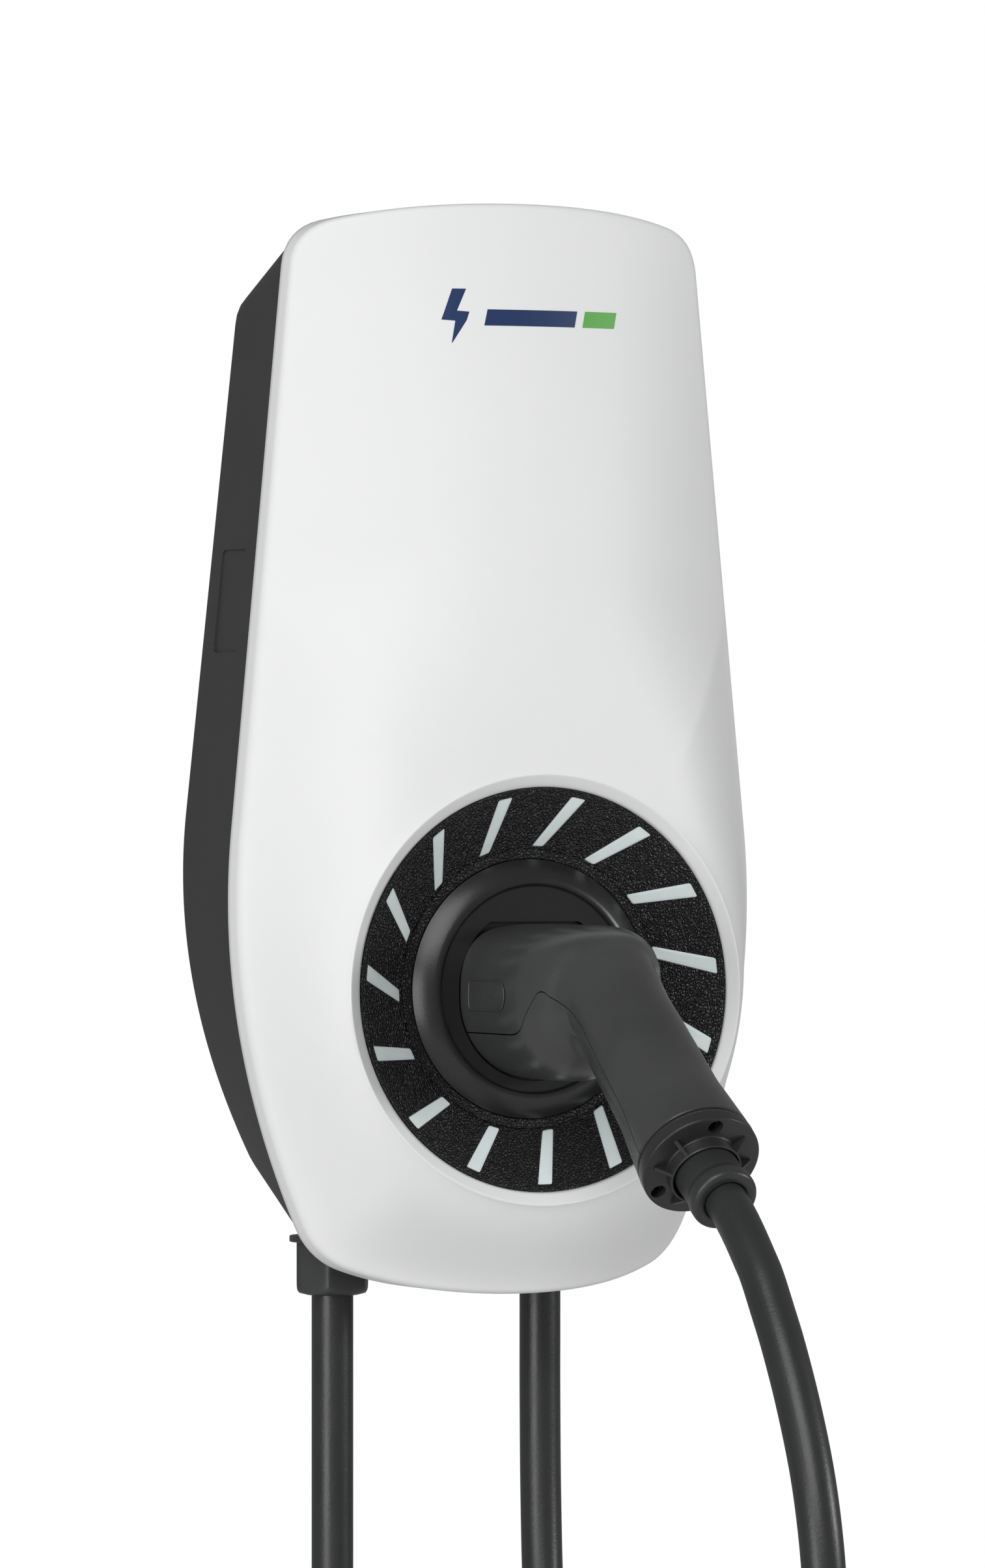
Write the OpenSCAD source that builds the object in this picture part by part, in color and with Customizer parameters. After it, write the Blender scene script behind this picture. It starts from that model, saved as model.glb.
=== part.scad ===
// Wall-mounted electric-vehicle charger with a tethered cable and a connector parked in its front.
// Origin: centre of the wall bolt pattern, on the wall. +Z up, +X right seen from the front, front faces -Y.
// "Depth" below always means distance from the wall, so a depth of 97 lies at y = -97.

/* [Body] */
// Height of the front cover
body_h = 402; // [350:1:490]
// Width of the front cover at its top edge
top_w = 162; // [135:1:194]
// Width of the front cover where the straight sides end
knee_w = 206.6; // [180:0.1:230]
// Height of that point, from the middle of the body
knee_z = -30; // [-60:1:0]
// Radius of the curved lower sides
side_r = 269; // [240:1:400]
// Drop of the arched top edge at its corners
top_arch = 9; // [4:0.5:16]
// Rise of the arched bottom edge at its corners
bottom_arch = 12; // [4:0.5:18]
// Depth of the grey rear housing
housing_d = 44.7; // [36:0.1:54]
// Depth of the white cover's straight side wall
cover_side = 9.9; // [8:0.1:12]
// Wall thickness of the cover
cover_wall = 2.6; // [2:0.1:3.2]
// Wall thickness of the housing
housing_wall = 3; // [2.4:0.1:3.6]
// Setback of the housing from the cover's outline
housing_inset = 1.2; // [0.6:0.1:2]
// How far the cover's front stands out of its side wall at the dial
cover_crown = 42.4; // [34:0.1:51]
// The same at the top and bottom edges
edge_crown = 20; // [14:0.5:24]

/* [Dial] */
// Height of the dial's centre, from the middle of the body
dial_z = -88.3; // [-96:0.1:-74]
// Radius of the black dish
dish_r = 74; // [68:0.5:76]
// Width of the white bevel around the dish
bevel_w = 5; // [3:0.5:6]
// Radius where the dish's cone ends
dish_foot_r = 51.3; // [49:0.1:56]
// Slope of the dish, depth per radius
dish_slope = 0.655; // [0.5:0.005:0.75]
// Number of light bars
bar_count = 15; // [9:1:18]
// Turn of a bar's outer end against its inner end, degrees
bar_swirl = -8; // [-12:0.5:0]
// Width of a light bar at its inner end
bar_w_in = 4.6; // [3:0.1:5.6]
// Width of a light bar at its outer end
bar_w_out = 6; // [4:0.1:7]

/* [Holster] */
// Radius of the collar's front lip
collar_lip_r = 39.8; // [37:0.1:42]
// Radius of the collar's foot
collar_foot_r = 47.7; // [46:0.1:48]
// Height of the collar's lip above its foot
collar_h = 4.9; // [3:0.1:7]
// Radius of the connector's nose
nose_r = 26.5; // [24:0.1:28]
// Height of the flat on top of the nose, from its centre
nose_flat = 19.5; // [17:0.1:21]
// Clearance between nose and holster
nose_gap = 0.5; // [0.3:0.1:1]
// Length of the nose
nose_len = 50; // [42:1:58]

/* [Connector] */
// Dip of the handle below level, degrees
handle_dip = 38.7; // [32:0.1:44]
// Distance of the elbow from the dial's rim plane
elbow_out = 44; // [38:1:50]
// Height of the elbow above the dial's centre
elbow_up = 7; // [4:0.5:9]
// Length of the handle from the elbow to the end cap
handle_len = 100; // [84:0.5:120]
// Handle radius at the elbow
handle_r_in = 17.6; // [16.5:0.1:19]
// Handle radius at the end cap
handle_r_out = 21.8; // [20.5:0.1:23]
// Radius of the end cap
cap_r = 22; // [21:0.5:24]
// Thickness of the end cap
cap_t = 6.5; // [5:0.5:8]
// Radius of the cable sleeve
sleeve_r = 11.6; // [10:0.1:12]
// Length of the cable sleeve
sleeve_len = 22.8; // [18:0.1:28]
// Dip of the sleeve below level, degrees
sleeve_dip = 32; // [30:1:40]

/* [Cables] */
// Diameter of both cables
cable_d = 15.5; // [13:0.1:16]
// Sideways place of the supply cable's gland
supply_x = -52; // [-54:1:-46]
// Sideways place of the charging cable's gland
charging_x = 33.5; // [30:0.5:40]
// Depth of both glands
gland_depth = 22; // [20:0.5:24]
// Width of a gland's hexagonal nut across its corners
gland_corners = 29.8; // [28:0.1:31]
// Height of a gland's nut
gland_nut_h = 19.7; // [16:0.1:23]
// Radius of the coil at the middle of its turns
coil_r = 93; // [82:1:93]
// Thickness of the coil from inner to outer turn
coil_t = 63; // [60:1:66]
// Width of the coil across its two columns of turns
coil_w = 32; // [31:1:36]

/* [Wall bracket] */
// Sideways spacing of the wall bolts
bolt_x = 90; // [75:1:108]
// Upright spacing of the wall bolts
bolt_z = 180; // [150:1:216]
// Diameter of the wall bolt holes
bolt_d = 7; // [6:0.1:8]
// Thickness of the bracket's sheet
bracket_t = 2; // [1.6:0.1:2.4]

/* [Hidden] */

white = "whitesmoke";
grey = "#3c3d3b";
black = "#232425";
plug_grey = "#4a4b4c";
light = "#d4dede";
steel = "silver";
board_green = "#1f5a3a";
sheath = "#3a3b3c";

$fn = 64;
eps = 0.01;
half_h = body_h / 2;
knee_half = knee_w / 2;
taper = (knee_half - top_w / 2) / (half_h - knee_z);
crease_d = housing_d + cover_side;
dial_d = crease_d + cover_crown;
flat_r = dish_r + bevel_w;
bevel_rise = 0.6;
bevel_fall = 1.5;
lip_t = 2;
dish_gap = 0.8;
surface_steps = 7;

// ---- Outline of the body, seen from the front ----

// Half width of the side at height z: a straight taper, then a circular arc below the knee
function side_x(z) = z > knee_z ? knee_half - taper * (z - knee_z)
    : knee_half + taper * (knee_z - z) - pow(knee_z - z, 2) / (2 * side_r);
// Share of the arch's drop at u, where 0 is the middle and 1 the corner
function arch(u) = 0.68 * u * u + 0.32 * pow(u, 4);
function top_z(x) = half_h - top_arch * arch(2 * x / (top_w - 6));
function bottom_z(x) = -half_h + bottom_arch * arch(x / (side_x(-half_h) + 3));
function bend(a, c, b, s) = (1 - s) * (1 - s) * a + 2 * s * (1 - s) * c + s * s * b;

top_corner_x = side_x(top_z(side_x(half_h)));
bottom_corner_x = side_x(bottom_z(side_x(-half_h + bottom_arch)));
top_cut = 13;
bottom_cut = 10;
top_corner = [top_corner_x, top_z(top_corner_x)];
bottom_corner = [bottom_corner_x, bottom_z(bottom_corner_x)];
top_in = [top_corner.x - top_cut, top_z(top_corner.x - top_cut)];
top_out = [side_x(top_corner.y - top_cut), top_corner.y - top_cut];
bottom_in = [side_x(bottom_corner.y + bottom_cut), bottom_corner.y + bottom_cut];
bottom_out = [bottom_corner.x - bottom_cut, bottom_z(bottom_corner.x - bottom_cut)];

side_steps = 15;
right_half = [
    for (k = [0:3]) let (x = top_in.x * (0.5 + k) / 4) [x, top_z(x)],
    for (k = [0:5]) bend(top_in, top_corner, top_out, k / 5),
    for (k = [1:side_steps - 1])
        let (z = top_out.y + (bottom_in.y - top_out.y) * k / side_steps) [side_x(z), z],
    for (k = [0:4]) bend(bottom_in, bottom_corner, bottom_out, k / 4),
    for (k = [3:-1:0]) let (x = bottom_out.x * (0.5 + k) / 4) [x, bottom_z(x)]
];
half_n = len(right_half);
outline = [for (p = right_half) p, for (k = [half_n - 1:-1:0]) [-right_half[k].x, right_half[k].y]];
outline_n = len(outline);

function unit(v) = v / norm(v);
function turned(v) = [-v.y, v.x];
function tangent(i) = unit(outline[(i + 1) % outline_n] - outline[(i + outline_n - 1) % outline_n]);
// The outline moved inwards by a distance, along its own normals
function inset(d) = [for (i = [0:outline_n - 1]) outline[i] - d * turned(tangent(i))];
// The housing tapers to the wall: its outline there is squeezed towards a point just above the middle
back_squeeze = 0.875;
back_shift = 3;
function housing_ring(d, depth) =
    let (k = (housing_d - depth) / housing_d, s = 1 - (1 - back_squeeze) * k)
    [for (p = inset(d)) [p.x, p.y * s + back_shift * k]];

// ---- Front surface of the cover ----

dial = [0, dial_z];
blend_w = 90;
crown_top_z = 5;
// Crown height along the body's middle line
function crown(z) = let (q = z > crown_top_z ? (z - crown_top_z) / (half_h - crown_top_z)
        : max(0, (dial_z - z) / (dial_z + half_h)))
    cover_crown - (cover_crown - edge_crown) * pow(q, 1.3);
function arc_height(p) = max(0, crown(p.y) * (1 - pow(p.x / side_x(p.y), 2)));
// Height of the surface above the side wall, a share s of the way from the bevel to outline point q
function front_height(q, s) =
    let (span = norm(q - dial) - flat_r, p = dial + unit(q - dial) * (flat_r + span * s),
        near = max(0, 1 - span * s / min(span, blend_w)), b = pow(near, 1.2))
    arc_height(p) * (1 - b) + cover_crown * b;
function on_ray(q, r) = dial + unit(q - dial) * r;
function share(k) = pow(k / surface_steps, 1.25);

// ---- Solids made of rings of points ----

// Closed surface through rings of [x, y, z] points; wrap joins the last ring to the first
module skin(rings, wrap = false) {
    n = len(rings[0]);
    m = len(rings);
    polyhedron(points = [for (r = rings) each r],
        faces = [for (j = [0:(wrap ? m - 1 : m - 2)]) for (i = [0:n - 1])
                let (a = j * n + i, b = j * n + (i + 1) % n, c = ((j + 1) % m) * n + i,
                    d = ((j + 1) % m) * n + (i + 1) % n) each [[a, b, d], [a, d, c]],
            if (!wrap) [for (i = [n - 1:-1:0]) i],
            if (!wrap) [for (i = [0:n - 1]) (m - 1) * n + i]], convexity = 6);
}
function lay(ring, depth) = [for (p = ring) [p.x, -depth, p.y]];
// Body of the housing between two depths, at an inset from the cover's outline
module housing_body(d, from, to) {
    skin([lay(housing_ring(d, from), from), lay(housing_ring(d, to), to)]);
}

// Tube through route points [x, y, z]
tube_sides = 10;
function along(route, i) = unit(route[min(i + 1, len(route) - 1)] - route[max(i - 1, 0)]);
module tube(route, d) {
    skin([for (i = [0:len(route) - 1])
            let (t = along(route, i), u = unit(cross(t, [0.9, 0.1, 0.05])), v = cross(t, u))
            [for (k = [0:tube_sides - 1]) let (a = -360 * k / tube_sides)
                route[i] + d / 2 * (cos(a) * u + sin(a) * v)]]);
}

// ---- Placing ----

// Extrudes a front-view shape outwards from a depth
module out(depth, h) translate([0, -depth, 0]) rotate([90, 0, 0]) linear_extrude(h) children();
// Turns a profile of [radius, depth] about the dial's axis
module dial_turn() translate([0, 0, dial_z]) rotate([90, 0, 0]) rotate_extrude($fn = 96) children();
module dial_out(depth, h) translate([0, 0, dial_z]) out(depth, h) children();
// A rod pointing out of the wall
module rod(x, z, depth, h, r) translate([x, -depth, z]) rotate([90, 0, 0]) cylinder(r = r, h = h);
// A block on the boards: centre x and z, start depth, size
module block(x, z, depth, size) translate([x - size.x / 2, -depth - size.y, z - size.z / 2]) cube(size);
// Along the handle, from the elbow
module on_handle(l) translate([0, -dial_d - elbow_out - l * cos(handle_dip),
    dial_z + elbow_up - l * sin(handle_dip)]) rotate([90 + handle_dip, 0, 0]) children();

// Along the cable sleeve, from the end cap's face
module on_sleeve(l) translate([0, -dial_d - elbow_out - (handle_len + cap_t) * cos(handle_dip),
    dial_z + elbow_up - (handle_len + cap_t) * sin(handle_dip)]) rotate([90 + sleeve_dip, 0, 0])
    translate([0, 0, l]) children();

// ---- Wall bracket and housing ----

bracket_w = bolt_x + 34;
bracket_h = bolt_z + 40;
panel_d = 6;
panel_screw_x = 52;
panel_screw_z = -bolt_z / 2 + 24;
screw_r = 2;
module wall_bracket() {
    color(steel) difference() {
        union() {
            out(0, bracket_t) square([bracket_w, bracket_h], center = true);
            for (sx = [-1, 1])
                rod(sx * panel_screw_x, panel_screw_z, bracket_t - eps, panel_d - bracket_t + eps, 5);
        }
        for (sx = [-1, 1]) {
            for (sz = [-1, 1]) rod(sx * bolt_x / 2, sz * bolt_z / 2, -1, bracket_t + 2, bolt_d / 2);
            rod(sx * panel_screw_x, panel_screw_z, -1, panel_d + 2, screw_r);
        }
        out(-1, bracket_t + 2) square([bracket_w / 2.4, bracket_h / 2], center = true);
    }
}

panel_t = 3;
panel_front = panel_d + panel_t;
ledge_w = 4;
ledge_t = 2.7;
inner_inset = housing_inset + housing_wall;
gland_bore = 12.5;
pocket_r = 19;
pocket_wall = 2.5;
boss_z = bottom_z(abs(supply_x)) + housing_inset
    + (housing_d - gland_depth) / housing_d * (half_h * (1 - back_squeeze) + back_shift - 2);
boss_h = 10;
locknut_r = 14.4;
locknut_h = 5;
pillar_r = 5;
label_depth = 11;
label_len = 23;
label_z = 54.7;
label_h = 38;
label_cut = 1;
// Cover screws stand on the line from the dial to a few outline points, this far inside them
screw_inset = 16;
upper_screw = 11;
lower_screw = 22;
screw_points = [upper_screw, lower_screw, outline_n - 1 - upper_screw, outline_n - 1 - lower_screw];
function screw_at(i) = inset(screw_inset)[i];
board_d = 20;
board_t = 1.6;
board_z = 62;
board_w = 132;
board_h = 176;
board_hole_x = board_w / 2 - 6;
board_hole_z = board_h / 2 - 6;
module rear_housing() {
    color(grey) difference() {
        union() {
            difference() {
                housing_body(housing_inset, 0, housing_d);
                housing_body(inner_inset, panel_front, housing_d - ledge_t);
                housing_body(inner_inset + ledge_w, housing_d - ledge_t - 1, housing_d + 1);
                housing_body(inner_inset, -1, panel_d);
            }
            intersection() {
                housing_body(housing_inset, 0, housing_d);
                for (x = [supply_x, charging_x]) translate([x, -gland_depth, boss_z - 20])
                    cylinder(r = pocket_r + pocket_wall, h = boss_h + 20);
            }
            for (i = screw_points) rod(screw_at(i).x, screw_at(i).y, panel_d, housing_d - panel_d, pillar_r);
            for (sx = [-1, 1]) for (sz = [-1, 1])
                rod(sx * board_hole_x, board_z + sz * board_hole_z, panel_d + 1, board_d - panel_d - 1, 4);
        }
        for (x = [supply_x, charging_x]) translate([x, -gland_depth, 0]) {
            translate([0, 0, boss_z - 30]) cylinder(r = pocket_r, h = 30);
            translate([0, 0, boss_z - 1]) cylinder(r = gland_bore, h = boss_h + 2);
            translate([0, 0, boss_z + boss_h]) cylinder(r = locknut_r + 0.4, h = locknut_h + 2, $fn = 6);
        }
        for (i = screw_points) {
            rod(screw_at(i).x, screw_at(i).y, panel_d - 1, housing_d + 2, screw_r);
            rod(screw_at(i).x, screw_at(i).y, panel_d - 1, 4, 3.6);
        }
        for (sx = [-1, 1]) {
            for (sz = [-1, 1]) rod(sx * board_hole_x, board_z + sz * board_hole_z, board_d - 8, 9, 1.4);
            rod(sx * panel_screw_x, panel_screw_z, panel_d - 1, panel_t + 2, screw_r);
        }
        translate([label_cut + housing_inset - side_x(label_z) - 4, -label_depth - label_len,
                label_z - label_h / 2])
            rotate([0, atan(taper), 0]) cube([4, label_len, label_h]);
    }
}

gasket_in = 1.2;
gasket_w = 2.2;
gasket_t = 2.5;
shelf_d = housing_d + gasket_t;
module housing_gasket() {
    a = inset(inner_inset + gasket_in);
    b = inset(inner_inset + gasket_in + gasket_w);
    color(black) skin([lay(a, housing_d), lay(a, shelf_d), lay(b, shelf_d), lay(b, housing_d)], wrap = true);
}

// ---- Cover ----

cover_boss_r = 4.5;
cover_boss_over = 1.2;
module front_cover() {
    wall_ring = inset(cover_wall);
    shelf_ring = inset(inner_inset + ledge_w);
    color(white) difference() {
        union() {
            skin([lay(outline, housing_d),
                for (k = [surface_steps:-1:0]) [for (i = [0:outline_n - 1])
                    let (q = outline[i], s = share(k), p = on_ray(q, flat_r + (norm(q - dial) - flat_r) * s))
                    [p.x, -crease_d - front_height(q, s) - (k == 0 ? bevel_rise : 0), p.y]],
                [for (q = outline) let (p = on_ray(q, dish_r + dish_gap)) [p.x, -dial_d + bevel_fall, p.y]],
                [for (q = outline) let (p = on_ray(q, dish_r + dish_gap))
                    [p.x, -dial_d + bevel_fall + lip_t, p.y]],
                for (k = [0:surface_steps]) [for (i = [0:outline_n - 1])
                    let (q = outline[i], s = share(k), w = wall_ring[i],
                        r = flat_r - 2 + (norm(w - dial) - flat_r + 2) * s, p = dial + unit(w - dial) * r)
                    [p.x, -crease_d - front_height(q, s) + cover_wall, p.y]],
                lay(wall_ring, shelf_d + 2.2), lay(shelf_ring, shelf_d + 2.2),
                lay(shelf_ring, shelf_d), lay(wall_ring, shelf_d), lay(wall_ring, housing_d)], wrap = true);
            for (i = screw_points) cover_boss(i, cover_boss_r, 0);
        }
        for (i = screw_points) rod(screw_at(i).x, screw_at(i).y, housing_d - 1, cover_side + 1, 1.6);
    }
}
// Screw boss from the housing's rim plane up into the cover's front wall
module cover_boss(i, r, less) {
    span = norm(outline[i] - dial) - flat_r;
    s = (norm(screw_at(i) - dial) - flat_r) / span;
    rod(screw_at(i).x, screw_at(i).y, housing_d,
        cover_side + front_height(outline[i], s) - cover_boss_over - less, r);
}

module cover_screws() {
    color(steel) for (i = screw_points) {
        rod(screw_at(i).x, screw_at(i).y, panel_d + 1, 2, 3.4);
        rod(screw_at(i).x, screw_at(i).y, panel_d + 1, housing_d - panel_d + 7, 1.6);
    }
}

// ---- Dial ----

function dish_d(r) = dial_d - (dish_r - r) * dish_slope;
dish_t = 2.5;
foot_d = dish_d(dish_foot_r) + 1.4;
collar_gap = 0.3;
lip_d = dial_d - bevel_fall - lip_t;
flange_r = flat_r - 3.4;
module bar_outline(grow) {
    r0 = 52.5 - 0.5 * grow;
    r1 = 71.6 + 0.5 * grow;
    h0 = bar_w_in / 2 + grow;
    h1 = bar_w_out / 2 + grow;
    a0 = -3.6;
    a1 = a0 + bar_swirl;
    polygon([[r0 * cos(a0) + h0 * sin(a0), r0 * sin(a0) - h0 * cos(a0)],
        [r1 * cos(a1) + h1 * sin(a1), r1 * sin(a1) - h1 * cos(a1)],
        [r1 * cos(a1) - h1 * sin(a1), r1 * sin(a1) + h1 * cos(a1)],
        [r0 * cos(a0) - h0 * sin(a0), r0 * sin(a0) + h0 * cos(a0)]]);
}
guide_d = dish_d(dish_foot_r) - dish_t - 4;
guide_t = 2;
led_d = guide_d - guide_t - 5;
dial_screw_r = 62;
dial_screw_n = 5;
// Dial screws stand in the gaps between bars
module dial_screw_at(k) translate([0, 0, dial_z]) rotate([0, -(90 + 180 / bar_count - 3.6 + bar_swirl / 2
    + 360 / bar_count * floor(bar_count / dial_screw_n) * k), 0]) translate([dial_screw_r, 0, 0]) children();
module dial_dish() {
    color(black) difference() {
        union() {
            dial_turn() polygon([[collar_foot_r + collar_gap, foot_d - 4],
                [collar_foot_r + collar_gap, foot_d], [dish_foot_r, foot_d],
                [dish_foot_r, dish_d(dish_foot_r)], [dish_r, dial_d],
                [dish_r, lip_d], [flange_r, lip_d], [flange_r, lip_d - 2], [dish_r, lip_d - 2],
                [dish_foot_r + 2, dish_d(dish_foot_r) - dish_t], [dish_foot_r + 2, foot_d - 4]]);
            for (k = [0:dial_screw_n - 1]) dial_screw_at(k)
                rod(0, 0, guide_d, dish_d(dial_screw_r) - dish_t + 1.5 - guide_d, 3);
        }
        for (k = [0:bar_count - 1]) translate([0, 0, dial_z]) rotate([0, -90 - 360 * k / bar_count, 0])
            out(guide_d - 1, dial_d - guide_d + 2) bar_outline(0);
        for (k = [0:dial_screw_n - 1]) dial_screw_at(k) rod(0, 0, guide_d - 1, 6, 1.4);
    }
}
module dial_screws() {
    color(steel) for (k = [0:dial_screw_n - 1]) dial_screw_at(k) {
        rod(0, 0, led_d - 1.8, 1.8, 2.6);
        rod(0, 0, led_d - 1.8, guide_d + 4 - led_d + 1.8, 1.4);
    }
}
module light_guide() {
    color(light) {
        difference() {
            dial_out(guide_d - guide_t, guide_t) difference() {
                circle(r = dish_r - 1, $fn = 96);
                circle(r = dish_foot_r - 0.5, $fn = 96);
            }
            for (k = [0:dial_screw_n - 1])
                dial_screw_at(k) rod(0, 0, guide_d - guide_t - 1, guide_t + 2, 1.6);
        }
        intersection() {
            for (k = [0:bar_count - 1]) translate([0, 0, dial_z]) rotate([0, -90 - 360 * k / bar_count, 0])
                out(guide_d - eps, dial_d - guide_d) bar_outline(-0.02);
            dial_turn() polygon([[dish_foot_r - 2, guide_d - 1], [dish_foot_r - 2, dish_d(dish_foot_r - 2)],
                [dish_r, dial_d], [dish_r, guide_d - 1]]);
        }
    }
}
module led_board() {
    color(board_green) difference() {
        dial_out(led_d, board_t) difference() {
            circle(r = dish_r, $fn = 96);
            circle(r = dish_foot_r - 0.5, $fn = 96);
        }
        for (k = [0:dial_screw_n - 1]) dial_screw_at(k) rod(0, 0, led_d - 1, board_t + 2, 1.6);
    }
}
module led_chips() {
    color("white") for (k = [0:bar_count - 1])
        translate([0, 0, dial_z]) rotate([0, -90 - 360 * k / bar_count, 0])
            block(62, -62 * tan(8), led_d + board_t, [5, 1.6, 5]);
}

// ---- Holster ----

face_d = foot_d + 1.5;
socket_wall = 3;
socket_depth = nose_len + 1;
collar_back = foot_d - 4;
socket_flange_t = 2.5;
// The collar's face lies just inside its lip, with a shallow bay for the connector's head
rim_face_d = foot_d + collar_h - 1;
head_gap = 0.8;
module nose_shape(grow) {
    intersection() {
        circle(r = nose_r + grow);
        translate([-40, -40]) square([80, 40 + nose_flat + grow]);
    }
}
module holster_collar() {
    color(black) difference() {
        dial_turn() polygon([[0, collar_back], [0, rim_face_d], [collar_lip_r - 2, rim_face_d],
            [collar_lip_r - 1, foot_d + collar_h], [collar_lip_r, foot_d + collar_h],
            [collar_foot_r, foot_d], [collar_foot_r, collar_back]]);
        dial_out(face_d, collar_h) offset(head_gap) head_shape(48);
        dial_out(collar_back - 1, 8) nose_shape(nose_gap);
        for (k = [0:3])
            translate([0, 0, dial_z]) rotate([0, 45 + 90 * k, 0]) rod(40, 0, collar_back - 1, 4, 1.4);
    }
}
module holster_socket() {
    back = head_back - socket_depth - socket_wall;
    color(grey) difference() {
        union() {
            dial_out(back, collar_back - back) circle(r = nose_r + nose_gap + socket_wall);
            dial_out(collar_back - socket_flange_t, socket_flange_t) circle(r = 45);
        }
        dial_out(back + socket_wall, socket_depth) nose_shape(nose_gap);
        for (k = [0:3])
            translate([0, 0, dial_z]) rotate([0, 45 + 90 * k, 0]) rod(40, 0, collar_back - 5, 6, 1.7);
    }
}
module holster_screws() {
    color(steel) for (k = [0:3]) translate([0, 0, dial_z]) rotate([0, 45 + 90 * k, 0]) {
        rod(40, 0, collar_back - socket_flange_t - 2, 2, 3);
        rod(40, 0, collar_back - socket_flange_t - 2, 7, 1.4);
    }
}

// ---- Electronics ----

board_front = board_d + board_t;
module main_board() {
    color(board_green) difference() {
        translate([0, 0, board_z]) out(board_d, board_t) square([board_w, board_h], center = true);
        for (sx = [-1, 1]) for (sz = [-1, 1])
            rod(sx * board_hole_x, board_z + sz * board_hole_z, board_d - 1, board_t + 2, 1.6);
    }
}
module board_screws() {
    color(steel) for (sx = [-1, 1]) for (sz = [-1, 1]) {
        rod(sx * board_hole_x, board_z + sz * board_hole_z, board_front, 1.8, 3);
        rod(sx * board_hole_x, board_z + sz * board_hole_z, board_d - 6, 6 + board_t, 1.4);
    }
}
module relays() {
    color("#2b4f7a") for (k = [0:3]) block(-45 + 22 * k, board_z - 62, board_front, [18, 18, 30]);
}
module current_sensor() {
    color("#c9a227") difference() {
        rod(46, board_z - 62, board_front, 14, 13);
        rod(46, board_z - 62, board_front - 1, 16, 7);
    }
}
module power_supply() {
    color("#2a2a2a") block(-36, board_z + 44, board_front, [40, 24, 34]);
}
module capacitors() {
    color("#3a3f55") for (k = [0:2]) rod(4 + 17 * k, board_z + 44, board_front, 25, 7);
}
block_z = board_z - board_h / 2 - 24;
module terminal_body(x, n) {
    pitch = 7;
    difference() {
        block(x, block_z, panel_front, [n * pitch + 2, 22, 20]);
        for (k = [0:n - 1]) {
            translate([x + (k - (n - 1) / 2) * pitch, -panel_front - 8, block_z - 11])
                cylinder(r = 2.1, h = 12);
            rod(x + (k - (n - 1) / 2) * pitch, block_z, panel_front + 16, 8, 2.2);
        }
    }
}
module terminal_block() color("#b9bdb9") terminal_body(supply_x, 5);
module output_terminals() color("#b9bdb9") terminal_body(charging_x + 16, 5);
module terminal_screws() {
    color(steel) for (x = [supply_x, charging_x + 16]) for (k = [-2:2])
        rod(x + 7 * k, block_z, panel_front + 16, 4, 2.2);
}
module control_board() {
    color(board_green) translate([0, 0, board_z + 6])
        out(board_front + 19, board_t) square([70, 36], center = true);
    color(board_green) for (sx = [-1, 1]) rod(sx * 30, board_z + 6, board_front, 19 + eps, 2.5);
}
module control_shield() {
    color(steel) block(6, board_z + 6, board_front + 19 + board_t, [34, 4, 26]);
}

// ---- Glands ----

washer_t = 2.4;
cable_r = cable_d / 2;
bore_gap = 0.15;
nut_top = boss_z - washer_t;
nut_bottom = nut_top - gland_nut_h;
module gland_at(x) translate([x, -gland_depth, 0]) children();
module gland_body() {
    difference() {
        union() {
            translate([0, 0, nut_top]) cylinder(r = gland_corners / 2 + 1.1, h = washer_t);
            translate([0, 0, nut_top - 8]) cylinder(r = 11.4, h = 8 + washer_t + boss_h + 7);
        }
        translate([0, 0, nut_top - 9]) cylinder(r = 9.6, h = 14);
        translate([0, 0, nut_top - 9]) cylinder(r = cable_r + bore_gap, h = boss_h + 30);
    }
}
module gland_seal() {
    difference() {
        translate([0, 0, nut_top - 12]) cylinder(r = 9.5, h = 16);
        translate([0, 0, nut_top - 13]) cylinder(r = cable_r + bore_gap, h = 18);
    }
}
module gland_nut() {
    dome = 5;
    difference() {
        intersection() {
            translate([0, 0, nut_bottom]) cylinder(r = gland_corners / 2, h = gland_nut_h, $fn = 6);
            translate([0, 0, nut_bottom]) rotate_extrude() polygon([[0, 0], [gland_corners / 2 - dome, 0],
                for (k = [1:5]) [gland_corners / 2 - dome + dome * sin(18 * k), dome - dome * cos(18 * k)],
                [gland_corners / 2, gland_nut_h], [0, gland_nut_h]]);
        }
        translate([0, 0, nut_bottom - 1]) cylinder(r = cable_r + bore_gap, h = gland_nut_h + 2);
        translate([0, 0, nut_top - 12]) cylinder(r = 11.4, h = 13);
    }
}
module gland_locknut() {
    difference() {
        translate([0, 0, boss_z + boss_h]) cylinder(r = locknut_r, h = locknut_h, $fn = 6);
        translate([0, 0, boss_z + boss_h - 1]) cylinder(r = 11.45, h = locknut_h + 2);
    }
}
module supply_gland_body() color(grey) gland_at(supply_x) gland_body();
module supply_gland_seal() color("#111111") gland_at(supply_x) gland_seal();
module supply_gland_nut() color(grey) gland_at(supply_x) gland_nut();
module supply_gland_locknut() color(grey) gland_at(supply_x) gland_locknut();
module charging_gland_body() color(grey) gland_at(charging_x) gland_body();
module charging_gland_seal() color("#111111") gland_at(charging_x) gland_seal();
module charging_gland_nut() color(grey) gland_at(charging_x) gland_nut();
module charging_gland_locknut() color(grey) gland_at(charging_x) gland_locknut();

// ---- Cables ----

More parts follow.
